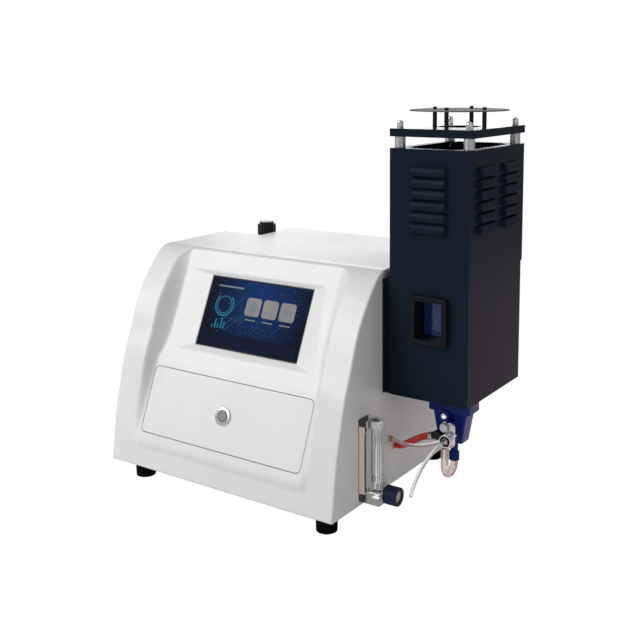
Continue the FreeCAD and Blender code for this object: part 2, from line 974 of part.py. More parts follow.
def make_rubber_feet():
    """Four feet that taper to the bench, with a recess for the screw's head."""
    feet = []
    top = foot_height + shell_wall
    for x, y in foot_places():
        body = Part.makeCone(foot_tip_radius, foot_radius, top, V(x, y, 0))
        edge = [e for e in body.Edges if e.BoundBox.ZMax < fit_gap]
        body = body.makeFillet(least_radius, edge)
        recess = upright(foot_recess_radius, x, y, -overrun, foot_recess_depth)
        hole = upright(screw_radius + screw_hole_gap, x, y, 0, top + overrun)
        feet.append(body.cut([recess, hole]))
    return feet


def low_rear_seats():
    """Seats of the screws that hold the rear panel's foot to the base plate."""
    z = foot_height + shell_wall + rear_seat_raise
    xs = (notch_x + rear_screw_inset * 2, (notch_x - rear_screw_inset) / 2, -rear_screw_inset * 2)
    return [V(x, case_depth, z) for x in xs]


def high_rear_seats():
    """Seats of the screws that hold the rear panel's head to the cover."""
    z = case_top - rear_screw_inset
    return [V(s.x, s.y, z) for s in low_rear_seats()]


def on_rear(shape, x, z):
    """Places a body drawn about +Z on the rear panel, with +Z to the rear and +Y up."""
    turned = shape.copy()
    turned.rotate(V(0, 0, 0), V(1, 0, 0), 90)
    turned.rotate(V(0, 0, 0), V(0, 0, 1), 180)
    turned.translate(V(x, case_depth, z))
    return turned


def make_rear_panel():
    """The flat rear plate with the openings for its sockets and a row of vents."""
    side = sheet + fit_gap
    plate = block(notch_x + side, -side, case_depth - sheet, case_depth, foot_height + shell_wall,
                  case_top - side)
    corners = [e for e in plate.Edges if e.BoundBox.YLength > sheet / 2 and e.BoundBox.ZMin > seam_height]
    plate = plate.makeFillet(edge_radius, corners)
    cuts = []
    start = rear_vent_x - rear_vent_pitch * (rear_vent_count - 1) / 2
    for i in range(rear_vent_count):
        slot = rounded_plate(rear_vent_width, rear_vent_height, rear_vent_corner, -sheet * 2, overrun)
        cuts.append(on_rear(slot, start + i * rear_vent_pitch, rear_vent_centre))
    body = rounded_plate(inlet_body_width + fit_gap * 2, inlet_body_height + fit_gap * 2, fit_gap,
                         -sheet * 2, overrun)
    cuts.append(on_rear(body, inlet_x, inlet_z))
    socket = rounded_plate(serial_shell_width + sheet, serial_shell_height + sheet, fit_gap,
                           -sheet * 2, overrun)
    cuts.append(on_rear(socket, serial_x, serial_z))
    cuts.append(rod(barb_thread_radius + fit_gap, V(fuel_inlet_x, case_depth - sheet * 2, fuel_inlet_z),
                    V(fuel_inlet_x, case_depth + overrun, fuel_inlet_z)))
    cuts += [screw_hole(seat, V(0, 1, 0), sheet * 3) for seat in low_rear_seats() + high_rear_seats()]
    return plate.cut(cuts)


def make_display_module():
    """The display: its glass in the shell's window and its frame and driver board behind."""
    width = display_width + display_surround / 2 - fit_gap * 2
    height = display_height + display_surround / 2 - fit_gap * 2
    glass = rounded_plate(width, height, least_radius, -shell_wall - overrun, 0)
    frame = rounded_plate(width + module_border, height + module_border, least_radius * 2,
                          -shell_wall - module_thick, -shell_wall)
    board = rounded_plate(driver_board_width, driver_board_height, least_radius,
                          -shell_wall - module_thick - driver_board_thick, -shell_wall - module_thick)
    return on_screen(joined(glass, frame, board))


def make_lower_panel():
    """The flat panel in its pocket, with the button's hole."""
    plate = rounded_plate(panel_width, panel_height, panel_corner, -panel_thick, 0)
    hole = Part.makeCylinder(bezel_thread_radius + fit_gap, panel_thick + overrun * 2,
                             V(0, -button_drop, -panel_thick - overrun))
    return on_panel(plate.cut(hole))


def make_ignition_bezel():
    """The button's metal sleeve with its rounded head, and the nut behind the shell."""
    head = Part.makeCylinder(bezel_head_radius, bezel_head_thick)
    rim = [e for e in head.Edges if e.BoundBox.ZMin > bezel_head_thick / 2]
    head = head.makeFillet(bezel_head_round, rim)
    sleeve = Part.makeCylinder(bezel_thread_radius, bezel_length, V(0, 0, -bezel_length))
    bore = Part.makeCylinder(button_cap_radius + running_gap, bezel_head_thick + button_cap_thick + overrun,
                             V(0, 0, -button_cap_thick - button_travel + button_cap_proud))
    stem_bore = Part.makeCylinder(button_stem_radius + running_gap, bezel_length + overrun,
                                  V(0, 0, -bezel_length - overrun))
    body = joined(head, sleeve).cut([bore, stem_bore])
    nut_low = -shell_wall - bezel_nut_thick
    nut = hexagon(bezel_nut_across, V(0, 0, nut_low), V(0, 0, -shell_wall))
    nut = nut.cut(Part.makeCylinder(bezel_thread_radius + running_gap, bezel_nut_thick * 3,
                                    V(0, 0, nut_low - overrun)))
    return [on_button(body), on_button(nut)]


def make_ignition_button():
    """The button's cap with its shallow dish, and the stem that guides it."""
    top = bezel_head_thick + button_cap_proud
    low = top - button_cap_thick
    cap = Part.makeCylinder(button_cap_radius, button_cap_thick, V(0, 0, low))
    rim = [e for e in cap.Edges if e.BoundBox.ZMin > low + button_cap_thick / 2]
    cap = cap.makeFillet(least_radius, rim)
    dish = Part.makeCylinder(button_dish_radius, overrun, V(0, 0, top - button_dish_depth))
    stem = Part.makeCylinder(button_stem_radius, button_stem_length + overrun / 4,
                             V(0, 0, low - button_stem_length))
    return on_button(joined(cap, stem).cut(dish))


# Inside the case

def standing_height():
    """The height on which the boards stand."""
    return floor_top + boss_height


def make_power_supply():
    """A sheet metal box with vent slots in its top and a terminal row."""
    low = standing_height()
    x1 = supply_x + supply_width
    y1 = supply_y + supply_depth
    box = block(supply_x, x1, supply_y, y1, low, low + supply_height)
    hollow = block(supply_x + supply_wall, x1 - supply_wall, supply_y + supply_wall, y1 - supply_wall,
                   low + supply_wall, low + supply_height - supply_wall)
    cuts = [hollow]
    pitch = supply_depth / (supply_vent_count + 1)
    for i in range(supply_vent_count):
        y = supply_y + pitch * (i + 1)
        cuts.append(block(supply_x + header_height, x1 - header_height, y - rear_vent_width / 2,
                          y + rear_vent_width / 2, low + supply_height - overrun,
                          low + supply_height + overrun))
    terminal = block(supply_x + supply_terminal_inset, x1 - supply_terminal_inset, supply_y - header_height,
                     supply_y, low, low + header_height)
    return box.cut(cuts).fuse(terminal).removeSplitter()


def make_main_board():
    """The circuit board with its processor, capacitors and plug headers."""
    low = standing_height()
    top = low + board_thick
    board = block(board_x, board_x + board_width, board_y, board_y + board_depth, low, top)
    chip_x = board_x + chip_offset_x
    chip_y = board_y + chip_offset_y
    parts = [block(chip_x, chip_x + chip_side, chip_y, chip_y + chip_side, top, top + chip_thick)]
    for i in range(capacitor_count):
        parts.append(upright(capacitor_radius, board_x + board_width - capacitor_pitch,
                             board_y + capacitor_pitch * (i + 1), top, top + capacitor_height))
    for i in range(header_count):
        x = board_x + capacitor_pitch / 2 + i * (header_width + header_depth)
        y = board_y + header_depth / 2
        parts.append(block(x, x + header_width, y, y + header_depth,
                           top, top + header_height))
    return joined(board, *parts)


def make_gas_valve():
    """The shut-off valve: a brass block under its coil."""
    low = standing_height()
    x = valve_x + valve_width / 2
    y = valve_y + valve_depth / 2
    body = block(valve_x, valve_x + valve_width, valve_y, valve_y + valve_depth, low, low + valve_height)
    coil = upright(coil_radius, x, y, low + valve_height, low + valve_height + coil_height)
    cap_low = low + valve_height + coil_height
    cap = upright(coil_cap_radius, x, y, cap_low, cap_low + coil_cap_height)
    bore = rod(barb_neck_radius, V(valve_x - overrun, y, low + valve_height / 2),
               V(valve_x + valve_width + overrun, y, low + valve_height / 2))
    return joined(body, coil, cap).cut(bore)


def make_igniter_module():
    """The potted high voltage block with its terminal."""
    low = standing_height()
    body = block(igniter_x, igniter_x + igniter_width, igniter_y, igniter_y + igniter_depth, low,
                 low + igniter_height)
    x = igniter_x + igniter_width / 2
    y = igniter_y + igniter_depth / 2
    top = low + igniter_height
    terminal = cone(igniter_terminal_radius, igniter_terminal_radius / 2, V(x, y, top),
                    V(x, y, top + igniter_terminal_height))
    return joined(body, terminal)


def make_detector_housing():
    """The detector's box, its neck and the flange by which it hangs on the case's side."""
    y, z = chamber_y, light_height
    half = detector_flange_side / 2
    flange_face = -sheet
    neck_start = flange_face - detector_flange_thick
    box_end = neck_start - detector_neck_length
    box_start = box_end - detector_length
    outer = lens_tube_radius + fit_gap + detector_neck_wall
    flange = block(neck_start, flange_face, y - half, y + half, z - half, z + half)
    neck = rod(outer, V(box_end, y, z), V(neck_start, y, z))
    side = detector_side / 2
    box = block(box_start, box_end, y - side, y + side, z - side, z + side)
    inner = side - detector_wall
    hollow = block(box_start + detector_wall, box_end - detector_wall, y - inner, y + inner,
                   z - inner, z + inner)
    bore = rod(lens_tube_radius + fit_gap, V(box_end - detector_wall - overrun, y, z),
               V(flange_face + overrun, y, z))
    return joined(flange, neck, box).cut([hollow, bore])


def lens_tube_start():
    """The light tube's inner end, at the detector's box."""
    return -sheet - detector_flange_thick - detector_neck_length


def make_lens_tube():
    """The light tube from the detector through the case and the tower to the flame."""
    y, z = chamber_y, light_height
    return pipe(lens_tube_radius, lens_tube_radius - lens_tube_wall, V(lens_tube_start(), y, z),
                V(lens_tube_reach, y, z))


def make_lens_and_filter():
    """The lens at the tube's mouth and the colour filter at its foot."""
    y, z = chamber_y, light_height
    radius = lens_tube_radius - lens_tube_wall - running_gap
    lens = rod(radius, V(lens_tube_reach - lens_thick * 2, y, z), V(lens_tube_reach - lens_thick, y, z))
    rims = [e for e in lens.Edges if e.BoundBox.XLength < fit_gap]
    lens = lens.makeChamfer(lens_thick / 4, rims)
    start = lens_tube_start() + filter_setback
    colour = rod(radius, V(start, y, z), V(start + filter_thick, y, z))
    return [lens, colour]


# Sockets and fittings

def make_power_inlet():
    """The power entry: socket with three pins, fuse slot and the bay of the rocker."""
    flange = rounded_plate(inlet_flange_width, inlet_flange_height, window_corner, 0, inlet_flange_thick)
    body = rounded_plate(inlet_body_width, inlet_body_height, least_radius, -inlet_body_depth, 0)
    depth = inlet_flange_thick - socket_depth
    socket = rounded_plate(socket_width, socket_height, socket_chamfer / 2, depth,
                           inlet_flange_thick + overrun)
    socket.translate(V(0, socket_offset, 0))
    fuse = rounded_plate(fuse_width + fit_gap, fuse_height + fit_gap, least_radius / 2,
                         inlet_flange_thick - fuse_depth, inlet_flange_thick + overrun)
    fuse.translate(V(0, fuse_offset, 0))
    bay = rounded_plate(rocker_width + fit_gap * 2, rocker_height + fit_gap * 2, least_radius / 2,
                        inlet_flange_thick - rocker_depth, inlet_flange_thick + overrun)
    bay.translate(V(0, rocker_offset, 0))
    half = rocker_width / 2 + overrun
    pivot = rod(rocker_pin_radius + running_gap, V(-half, rocker_offset, inlet_flange_thick / 3),
                V(half, rocker_offset, inlet_flange_thick / 3))
    module = joined(flange, body).cut([socket, fuse, bay, pivot])
    pins = []
    for x, y in ((-pin_pitch / 2, socket_offset - pin_raise), (pin_pitch / 2, socket_offset - pin_raise),
                 (0, socket_offset + pin_raise)):
        pins.append(block(x - pin_thick / 2, x + pin_thick / 2, y - pin_width / 2, y + pin_width / 2,
                          depth - overrun, depth + pin_length))
    return on_rear(joined(module, *pins), inlet_x, inlet_z)


def make_fuse_drawer():
    """The drawer that holds the fuse, with a grip on its face."""
    width = fuse_width - fit_gap
    height = fuse_height - fit_gap
    front = inlet_flange_thick + running_gap
    drawer = rounded_plate(width, height, least_radius / 2, inlet_flange_thick - fuse_depth + fit_gap, front)
    face = rounded_plate(width + overrun, height + overrun / 2, least_radius, front,
                         front + fuse_front_proud)
    grip = block(-width / 4, width / 4, -fuse_grip_height / 2, fuse_grip_height / 2,
                 front + fuse_front_proud / 2, front + fuse_front_proud * 2)
    hollow = block(-width / 2 + overrun, width / 2 - overrun, -height / 2 + sheet, height / 2 + overrun,
                   inlet_flange_thick - fuse_depth + sheet, 0)
    drawer = joined(drawer, face, grip).cut(hollow)
    drawer.translate(V(0, fuse_offset, 0))
    return on_rear(drawer, inlet_x, inlet_z)


def make_power_rocker():
    """The rocker on its pin, tipped to its off side."""
    half = rocker_height / 2 - fit_gap
    high = rocker_proud + overrun / 2
    outline = [(-half, high), (0, high - least_radius * 2), (half, high), (half, -overrun / 2),
               (half / 2, -rocker_depth / 2), (-half / 2, -rocker_depth / 2), (-half, -overrun / 2)]
    width = rocker_width - fit_gap
    rocker = prism_along_x(outline, -width / 2, width / 2)
    reach = rocker_width / 2 + overrun - fit_gap
    rocker = joined(rocker, rod(rocker_pin_radius, V(-reach, 0, 0), V(reach, 0, 0)))
    rocker.rotate(V(0, 0, 0), V(1, 0, 0), -rocker_angle / 2)
    rocker.translate(V(0, rocker_offset, inlet_flange_thick / 3))
    return on_rear(rocker, inlet_x, inlet_z)


def make_serial_port():
    """The nine way socket on its plate, with its two jack posts."""
    plate = rounded_plate(serial_width, serial_height, least_radius * 2, 0, serial_plate_thick)
    half = serial_shell_width / 2
    rise = serial_shell_height / 2
    top = serial_plate_thick + serial_shell_proud
    outline = [(-half, rise), (-half + serial_taper, -rise), (half - serial_taper, -rise), (half, rise)]
    shell = prism_up(outline, 0, top)
    body = rounded_plate(serial_shell_width, serial_shell_height, least_radius, -serial_body_depth, 0)
    jacks = [hexagon(serial_jack_across, V(side * serial_jack_pitch / 2, 0, serial_plate_thick),
                     V(side * serial_jack_pitch / 2, 0, serial_plate_thick + serial_jack_length))
             for side in (-1, 1)]
    port = joined(plate, shell, body, *jacks)
    holes = []
    pitch = (serial_shell_width - serial_taper * 2) / (serial_pin_rows[0][1] + 1)
    for row, count in serial_pin_rows:
        for i in range(count):
            x = (i - (count - 1) / 2) * pitch
            holes.append(Part.makeCylinder(pitch / 4, serial_shell_proud + overrun,
                                           V(x, row * rise / 3, serial_plate_thick)))
    return on_rear(port.cut(holes), serial_x, serial_z)


def hose_barb(seat, outward):
    """A hose fitting: thread behind its seat, hexagon, neck and barbs, bored through."""
    out = V(outward).normalize()
    hexagon_end = seat + out * barb_hex_length
    body = hexagon(barb_hex_across, seat, hexagon_end)
    end = hexagon_end + out * barb_rib_length * (barb_rib_count + 1)
    parts = [rod(barb_neck_radius, hexagon_end - out * least_radius, end),
             rod(barb_thread_radius, seat - out * barb_thread_length, seat + out * least_radius)]
    for i in range(barb_rib_count):
        low = hexagon_end + out * barb_rib_length * (i + 1)
        parts.append(cone(barb_rib_radius, barb_neck_radius, low, low + out * barb_rib_length))
    fitting = joined(body, *parts)
    return fitting.cut(rod(barb_neck_radius / 2, seat - out * (barb_thread_length + overrun),
                           end + out * overrun))


def make_hose_fittings():
    """The fuel inlet at the rear, the regulator's two fittings and the two ports at the side."""
    half = regulator_side / 2
    middle = regulator_bottom + regulator_height / 2
    fittings = [hose_barb(V(fuel_inlet_x, case_depth, fuel_inlet_z), V(0, 1, 0)),
                hose_barb(V(regulator_x - half, regulator_y, middle), V(-1, 0, 0)),
                hose_barb(V(regulator_x, regulator_y - half, middle), V(0, -1, 0))]
    for (y, z), reach, radius in zip(side_ports(), (air_port_reach, gas_port_reach),
                                     (air_port_radius, gas_port_radius)):
        collar = rod(radius, V(0, y, z), V(reach, y, z))
        shank = rod(barb_thread_radius, V(-barb_thread_length, y, z), V(least_radius, y, z))
        fittings.append(joined(collar, shank))
    return fittings


# Air filter and regulator

def make_regulator_body():
    """The cast body with its bonnet, lock nut, gauge port and fitting ports."""
    half = regulator_side / 2
    top = regulator_bottom + regulator_height
    body = rounded_plate(regulator_side, regulator_side, window_corner, regulator_bottom, top)
    body.translate(V(regulator_x, regulator_y, 0))
    bonnet = upright(regulator_bonnet_radius, regulator_x, regulator_y, top, top + regulator_bonnet_height)
    nut_low = top + bracket_tongue_thick
    nut = hexagon(regulator_bonnet_radius * 2 + shell_wall, V(regulator_x, regulator_y, nut_low),
                  V(regulator_x, regulator_y, top + regulator_knob_gap - fit_gap))
    middle = regulator_bottom + regulator_height / 2
    bore = barb_thread_radius + running_gap
    holes = [rod(bore, V(regulator_x - half - overrun, regulator_y, middle),
                 V(regulator_x - half + barb_thread_length, regulator_y, middle)),
             rod(bore, V(regulator_x, regulator_y - half - overrun, middle),
                 V(regulator_x, regulator_y - half + barb_thread_length, middle))]
    return joined(body, bonnet, nut).cut(holes)


def make_regulator_knob():
    """The fluted knob that turns on the bonnet, with a raised round top."""
    low = regulator_bottom + regulator_height + regulator_knob_gap
    top = low + regulator_knob_height
    knob = fluted(regulator_knob_radius, regulator_flute_radius, regulator_flute_count,
                  V(regulator_x, regulator_y, low), V(regulator_x, regulator_y, top))
    cap = upright(regulator_knob_top_radius, regulator_x, regulator_y, top - least_radius,
                  top + regulator_knob_top_height)
    rim = [e for e in cap.Edges if e.BoundBox.ZMin > top + least_radius]
    cap = cap.makeFillet(least_radius, rim)
    bore_top = regulator_bottom + regulator_height + regulator_bonnet_height + running_gap
    bore = upright(regulator_bonnet_radius + running_gap, regulator_x, regulator_y, low - overrun, bore_top)
    return joined(knob, cap).cut(bore)


def make_regulator_bracket():
    """A plate on the corner's wall and a tongue that the bonnet's nut clamps."""
    top = regulator_bottom + regulator_height + bracket_tongue_thick
    low = top - bracket_plate_height
    half = bracket_plate_depth / 2
    plate = block(notch_x - sheet, notch_x, regulator_y - half, regulator_y + half, low, top)
    reach = regulator_x - regulator_side / 2
    tongue = block(reach, notch_x, regulator_y - half, regulator_y + half, top - bracket_tongue_thick, top)
    hole = upright(regulator_bonnet_radius + running_gap, regulator_x, regulator_y,
                   top - bracket_tongue_thick - overrun, top + overrun)
    bracket = joined(plate, tongue).cut(hole)
    return bracket.cut([screw_hole(seat, V(-1, 0, 0), sheet * 3) for seat in regulator_screw_seats()])


def bowl_bottom():
    """The height of the filter bowl's underside."""
    return regulator_bottom - bowl_collar_height - bowl_height


def make_filter_bowl():
    """The clear bowl of the filter with its screwed collar."""
    low = bowl_bottom()
    split = regulator_bottom - bowl_collar_height
    bowl = upright(bowl_radius, regulator_x, regulator_y, low, split)
    foot = [e for e in bowl.Edges if e.BoundBox.ZMax < low + fit_gap]
    bowl = bowl.makeFillet(bowl_radius / 3, foot)
    collar = upright(bowl_collar_radius, regulator_x, regulator_y, split, regulator_bottom)
    hollow = upright(bowl_radius - bowl_wall, regulator_x, regulator_y, low + bowl_wall * 2,
                     regulator_bottom + overrun)
    drain = upright(drain_cock_bore + running_gap, regulator_x, regulator_y, low - overrun,
                    low + bowl_wall * 3)
    return joined(bowl, collar).cut([hollow, drain])


def make_bowl_drain():
    """The quarter turn cock under the bowl with its two wings."""
    top = bowl_bottom() - running_gap
    low = top - drain_cock_length
    barrel = upright(drain_cock_radius, regulator_x, regulator_y, low, top)
    neck = upright(drain_cock_bore, regulator_x, regulator_y, top - least_radius, top + bowl_wall * 2)
    wing = centred(regulator_x, regulator_y, drain_cock_wing * 2, drain_cock_wing_thick,
                   low + drain_cock_length / 3, top - overrun)
    bore = upright(drain_cock_bore / 2, regulator_x, regulator_y, low - overrun,
                   top + bowl_wall * 2 + overrun)
    return joined(barrel, neck, wing).cut(bore)


def gauge_face():
    """The front of the gauge's rim."""
    return regulator_y + regulator_side / 2 + gauge_stem_length + gauge_length


def gauge_z():
    """The height of the gauge's axis."""
    return regulator_bottom + gauge_height


def make_pressure_gauge():
    """The gauge's case with its sunk dial, its stem and the hole of the needle's pin."""
    z = gauge_z()
    front = gauge_face()
    seat = regulator_y + regulator_side / 2
    case = rod(gauge_radius, V(regulator_x, front - gauge_length, z), V(regulator_x, front, z))
    rims = [e for e in case.Edges if e.BoundBox.YLength < fit_gap]
    case = case.makeFillet(least_radius, rims)
    stem = rod(gauge_stem_radius, V(regulator_x, seat, z), V(regulator_x, front - gauge_length / 2, z))
    dial = rod(gauge_radius - gauge_rim, V(regulator_x, front - gauge_dial_depth, z),
               V(regulator_x, front + overrun, z))
    pin = rod(gauge_pin_radius + running_gap,
              V(regulator_x, front - gauge_dial_depth - gauge_length / 3, z),
              V(regulator_x, front, z))
    return joined(case, stem).cut([dial, pin])


def make_gauge_needle():
    """The needle and its pin, at zero."""
    low = gauge_needle_raise - gauge_dial_depth
    half = gauge_needle_width / 2
    outline = [(-half, -gauge_needle_tail), (half, -gauge_needle_tail),
               (half / 3, gauge_needle_length), (-half / 3, gauge_needle_length)]
    needle = prism_up(outline, low, low + gauge_needle_thick)
    pin = Part.makeCylinder(gauge_pin_radius, gauge_needle_raise + gauge_length / 4 + gauge_needle_thick,
                            V(0, 0, -gauge_dial_depth - gauge_length / 4))
    hub = Part.makeCylinder(gauge_pin_radius * 2, gauge_needle_thick * 2, V(0, 0, low))
    needle = joined(needle, pin, hub)
    needle.rotate(V(0, 0, 0), V(0, 0, 1), 360 - gauge_start_angle)
    return moved(on_rear(needle, regulator_x, gauge_z()), 0, gauge_face() - case_depth, 0)


# Burner tower

def on_tower(shape, angle, along, distance, z):
    """Places a body drawn about +Z on a side of the tower: 0 front, 90 right, 180 back, 270 left."""
    placed = on_slope(shape, 0, along, -distance, z)
    placed.rotate(V(0, 0, 0), V(0, 0, 1), angle)
    placed.translate(V(tower_x, tower_y, 0))
    return placed


def make_burner_bracket():
    """The spacer between the case and the tower, with two grooves in its front and its back."""
    back = tower_front + tower_depth
    top = tower_bottom + bracket_height
    body = block(0, bracket_width, tower_front, back, tower_bottom, top)
    wall = bracket_groove_depth + bracket_wall
    hollow = block(bracket_wall, bracket_width - bracket_wall, tower_front + wall, back - wall,
                   tower_bottom - overrun, top + overrun)
    cuts = [hollow]
    for i in range(2):
        x = bracket_wall + i * bracket_groove_pitch
        for y0, y1 in ((tower_front - overrun, tower_front + bracket_groove_depth),
                       (back - bracket_groove_depth, back + overrun)):
            cuts.append(block(x, x + bracket_groove, y0, y1, tower_bottom - overrun, top + overrun))
    cuts.append(rod(lens_tube_radius + fit_gap, V(-overrun, chamber_y, light_height),
                    V(bracket_width + overrun, chamber_y, light_height)))
    return body.cut(cuts)


def sheet_box(width, depth, z0, z1, floor):
    """A box of bent sheet about the tower's axis, with flanges turned in and, if asked, a floor."""
    outer = centred(tower_x, tower_y, width, depth, z0, z1)
    inner = centred(tower_x, tower_y, width - sheet * 2, depth - sheet * 2, z0 + sheet, z1 - sheet)
    rim = centred(tower_x, tower_y, width - tower_flange * 2, depth - tower_flange * 2,
                  z1 - sheet * 2, z1 + overrun)
    box = outer.cut([inner, rim])
    if floor:
        return box
    return box.cut(centred(tower_x, tower_y, width - tower_flange * 2, depth - tower_flange * 2,
                           z0 - overrun, z0 + sheet * 2))


def chamber_screw_places():
    """The four screws that hold the chamber's flange under the tower's floor."""
    return corner_places(chamber_x - chamber_flange_width / 2, chamber_y - chamber_flange_depth / 2,
                         chamber_flange_width, chamber_flange_depth, chamber_corner)


def window_opening():
    """The inner width and height of the window's frame."""
    return window_width - window_border * 2, window_height - window_border * 2


def make_lower_housing():
    """The tower's lower box: floor with the burner's hole, window opening and light hole."""
    box = sheet_box(tower_width, tower_depth, tower_bottom, tower_split, True)
    width, height = window_opening()
    opening = rounded_plate(width + window_tunnel_wall * 2 + fit_gap * 2,
                            height + window_tunnel_wall * 2 + fit_gap * 2, fit_gap,
                            -sheet * 2, overrun)
    cuts = [on_tower(opening, 0, window_centre_shift, tower_depth / 2, tower_bottom + window_centre_height),
            upright(spigot_radius + fit_gap, chamber_x, chamber_y, tower_bottom - overrun,
                    tower_bottom + sheet * 2),
            rod(lens_tube_radius + fit_gap, V(bracket_width - overrun, chamber_y, light_height),
                V(bracket_width + sheet * 2, chamber_y, light_height))]
    cuts += [upright(screw_radius + screw_hole_gap, x, y, tower_bottom - overrun, tower_bottom + sheet * 2)
             for x, y in chamber_screw_places()]
    return box.cut(cuts)


def louver_body(half, proud, height, corner):
    """The form of one hood: rounded over its top, tapered at its ends, round in its top corners."""
    top = [(height * along, proud * out) for along, out in louver_top_shares]
    side = prism_along_x([(0, proud)] + top + [(height, -sheet), (0, -sheet)], -half, half)
    plan = polygon([V(-half, 0, -sheet), V(-half, 0, 0), V(louver_taper - half, 0, proud),
                    V(half - louver_taper, 0, proud), V(half, 0, 0), V(half, 0, -sheet)])
    turns = [math.pi / 2 * i / louver_arc_steps for i in range(louver_arc_steps + 1)]
    right = [V(half - corner + corner * math.cos(a), height - corner + corner * math.sin(a), -sheet)
             for a in turns]
    left = [V(-p.x, p.y, p.z) for p in reversed(right)]
    face = polygon([V(half, 0, -sheet)] + right + left + [V(-half, 0, -sheet)])
    return side.common(plan.extrude(V(0, height, 0))).common(face.extrude(V(0, 0, proud + sheet)))


def louver(width):
    """One pressed louver that opens downwards: the hood and what is cut away under it."""
    half = width / 2
    hood = louver_body(half, louver_proud, louver_height, louver_corner)
    void = louver_body(half - louver_side_wall, louver_proud - louver_wall, louver_height - louver_wall,
                       louver_corner - louver_side_wall)
    return hood, void


def standoff_places():
    """The four places of the standoffs."""
    return [(tower_x + sx * standoff_spread_x / 2, tower_y + sy * standoff_spread_y / 2)
            for sx in (-1, 1) for sy in (-1, 1)]


def make_upper_housing():
    """The tower's upper box with its louvers, turned in flanges and corner plates."""
    width = tower_width + tower_step * 2
    depth = tower_depth + tower_step * 2
    box = sheet_box(width, depth, tower_split, tower_top, False)
    hoods = []
    voids = []
    rows = [(0, louver_width, (louver_shift,), depth / 2), (180, louver_width, (-louver_shift,), depth / 2),
            (90, side_louver_width, (side_louver_front_shift, side_louver_rear_shift), width / 2),
            (270, side_louver_width, (-side_louver_front_shift, -side_louver_rear_shift), width / 2)]
    for angle, louver_size, shifts, distance in rows:
        hood, void = louver(louver_size)
        for shift in shifts:
            for i in range(louver_count):
                z = tower_split + louver_first - i * louver_pitch
                hoods.append(on_tower(hood, angle, shift, distance, z))
                voids.append(on_tower(void, angle, shift, distance, z))
    gussets = []
    for x, y in corner_places(tower_x - width / 2 + sheet / 2, tower_y - depth / 2 + sheet / 2,
                              width - sheet, depth - sheet, 0):
        x1 = x + math.copysign(gusset_width, tower_x - x)
        y1 = y + math.copysign(gusset_depth, tower_y - y)
        gussets.append(block(min(x, x1), max(x, x1), min(y, y1), max(y, y1), tower_top - sheet, tower_top))
    holes = [upright(stud_radius + screw_hole_gap, x, y, tower_top - sheet * 2, tower_top + overrun)
             for x, y in standoff_places()]
    return box.fuse(hoods + gussets).cut(voids + holes).removeSplitter()


def make_window_frame():
    """The raised frame of the flame window and the short tunnel behind it."""
    width, height = window_opening()
    frame = rounded_plate(window_width, window_height, window_corner, 0, window_proud)
    rim = [e for e in frame.Edges if e.BoundBox.ZMin > window_proud - fit_gap]
    frame = frame.makeFillet(window_round, rim)
    tunnel = rounded_plate(width + window_tunnel_wall * 2, height + window_tunnel_wall * 2, fit_gap,
                           -window_tunnel, overrun / 2)
    hollow = rounded_plate(width, height, fit_gap, window_lip - window_tunnel, window_proud + overrun)
    mouth = rounded_plate(width - window_lip * 2, height - window_lip * 2, fit_gap,
                          -window_tunnel - overrun, window_proud + overrun)
    frame = joined(frame, tunnel).cut([hollow, mouth])
    return on_tower(frame, 0, window_centre_shift, tower_depth / 2, tower_bottom + window_centre_height)


def make_window_glass():
    """The dark blue glass against the tunnel's lip."""
    width, height = window_opening()
    low = window_lip - window_tunnel
    glass = rounded_plate(width - fit_gap * 2, height - fit_gap * 2, fit_gap, low,
                          low + window_glass_thick)
    return on_tower(glass, 0, window_centre_shift, tower_depth / 2, tower_bottom + window_centre_height)


def post_places():
    """The four places of the deflector's posts, in a cross."""
    return [(tower_x + dx * post_circle, tower_y + dy * post_circle)
            for dx, dy in ((1, 0), (0, 1), (-1, 0), (0, -1))]


def make_top_tray():
    """The plate over the tower with its rim turned down and its round smoke hole."""
    outer = centred(tower_x, tower_y, tray_width, tray_depth, tray_bottom, tray_top)
    inner = centred(tower_x, tower_y, tray_width - sheet * 2, tray_depth - sheet * 2,
                    tray_bottom - overrun, tray_top - sheet)
    cuts = [inner, upright(tray_hole_radius, tower_x, tower_y, tray_bottom, tray_top + overrun)]
    cuts += [upright(stud_radius + screw_hole_gap, x, y, tray_bottom, tray_top + overrun)
             for x, y in standoff_places()]
    cuts += [upright(post_tip_radius + screw_hole_gap, x, y, tray_bottom, tray_top + overrun)
             for x, y in post_places()]
    return outer.cut(cuts)


def make_tray_standoffs():
    """Four aluminium standoffs with a stud at each end."""
    parts = []
    for x, y in standoff_places():
        body = upright(standoff_radius, x, y, tower_top, tower_top + standoff_height)
        stud = upright(stud_radius, x, y, tower_top - stud_length, tray_top + stud_length)
        parts.append(joined(body, stud))
    return parts


def make_acorn_nuts():
    """The domed nuts on the upper studs."""
    nuts = []
    for x, y in standoff_places():
        low = tray_top
        flat = hexagon(nut_across, V(x, y, low), V(x, y, low + nut_height))
        top = low + nut_height + nut_dome_height
        dome = upright(nut_dome_radius, x, y, low + nut_height - least_radius, top)
        rim = [e for e in dome.Edges if e.BoundBox.ZMin > low + nut_height]
        dome = dome.makeFillet(nut_dome_round, rim)
        bore = upright(stud_radius + running_gap, x, y, low - overrun, low + stud_length + running_gap)
        nuts.append(joined(flat, dome).cut(bore))
    return nuts


def make_deflector_posts():
    """Four posts with a tip through the tray, a neck through the disc and a cap above it."""
    posts = []
    for x, y in post_places():
        body = upright(post_radius, x, y, tray_top, disc_bottom)
        tip = upright(post_tip_radius, x, y, tray_top - sheet * 2, disc_bottom + disc_thick + least_radius)
        cap = upright(post_cap_radius, x, y, disc_bottom + disc_thick, tray_top + post_height)
        posts.append(joined(body, tip, cap))
    return posts


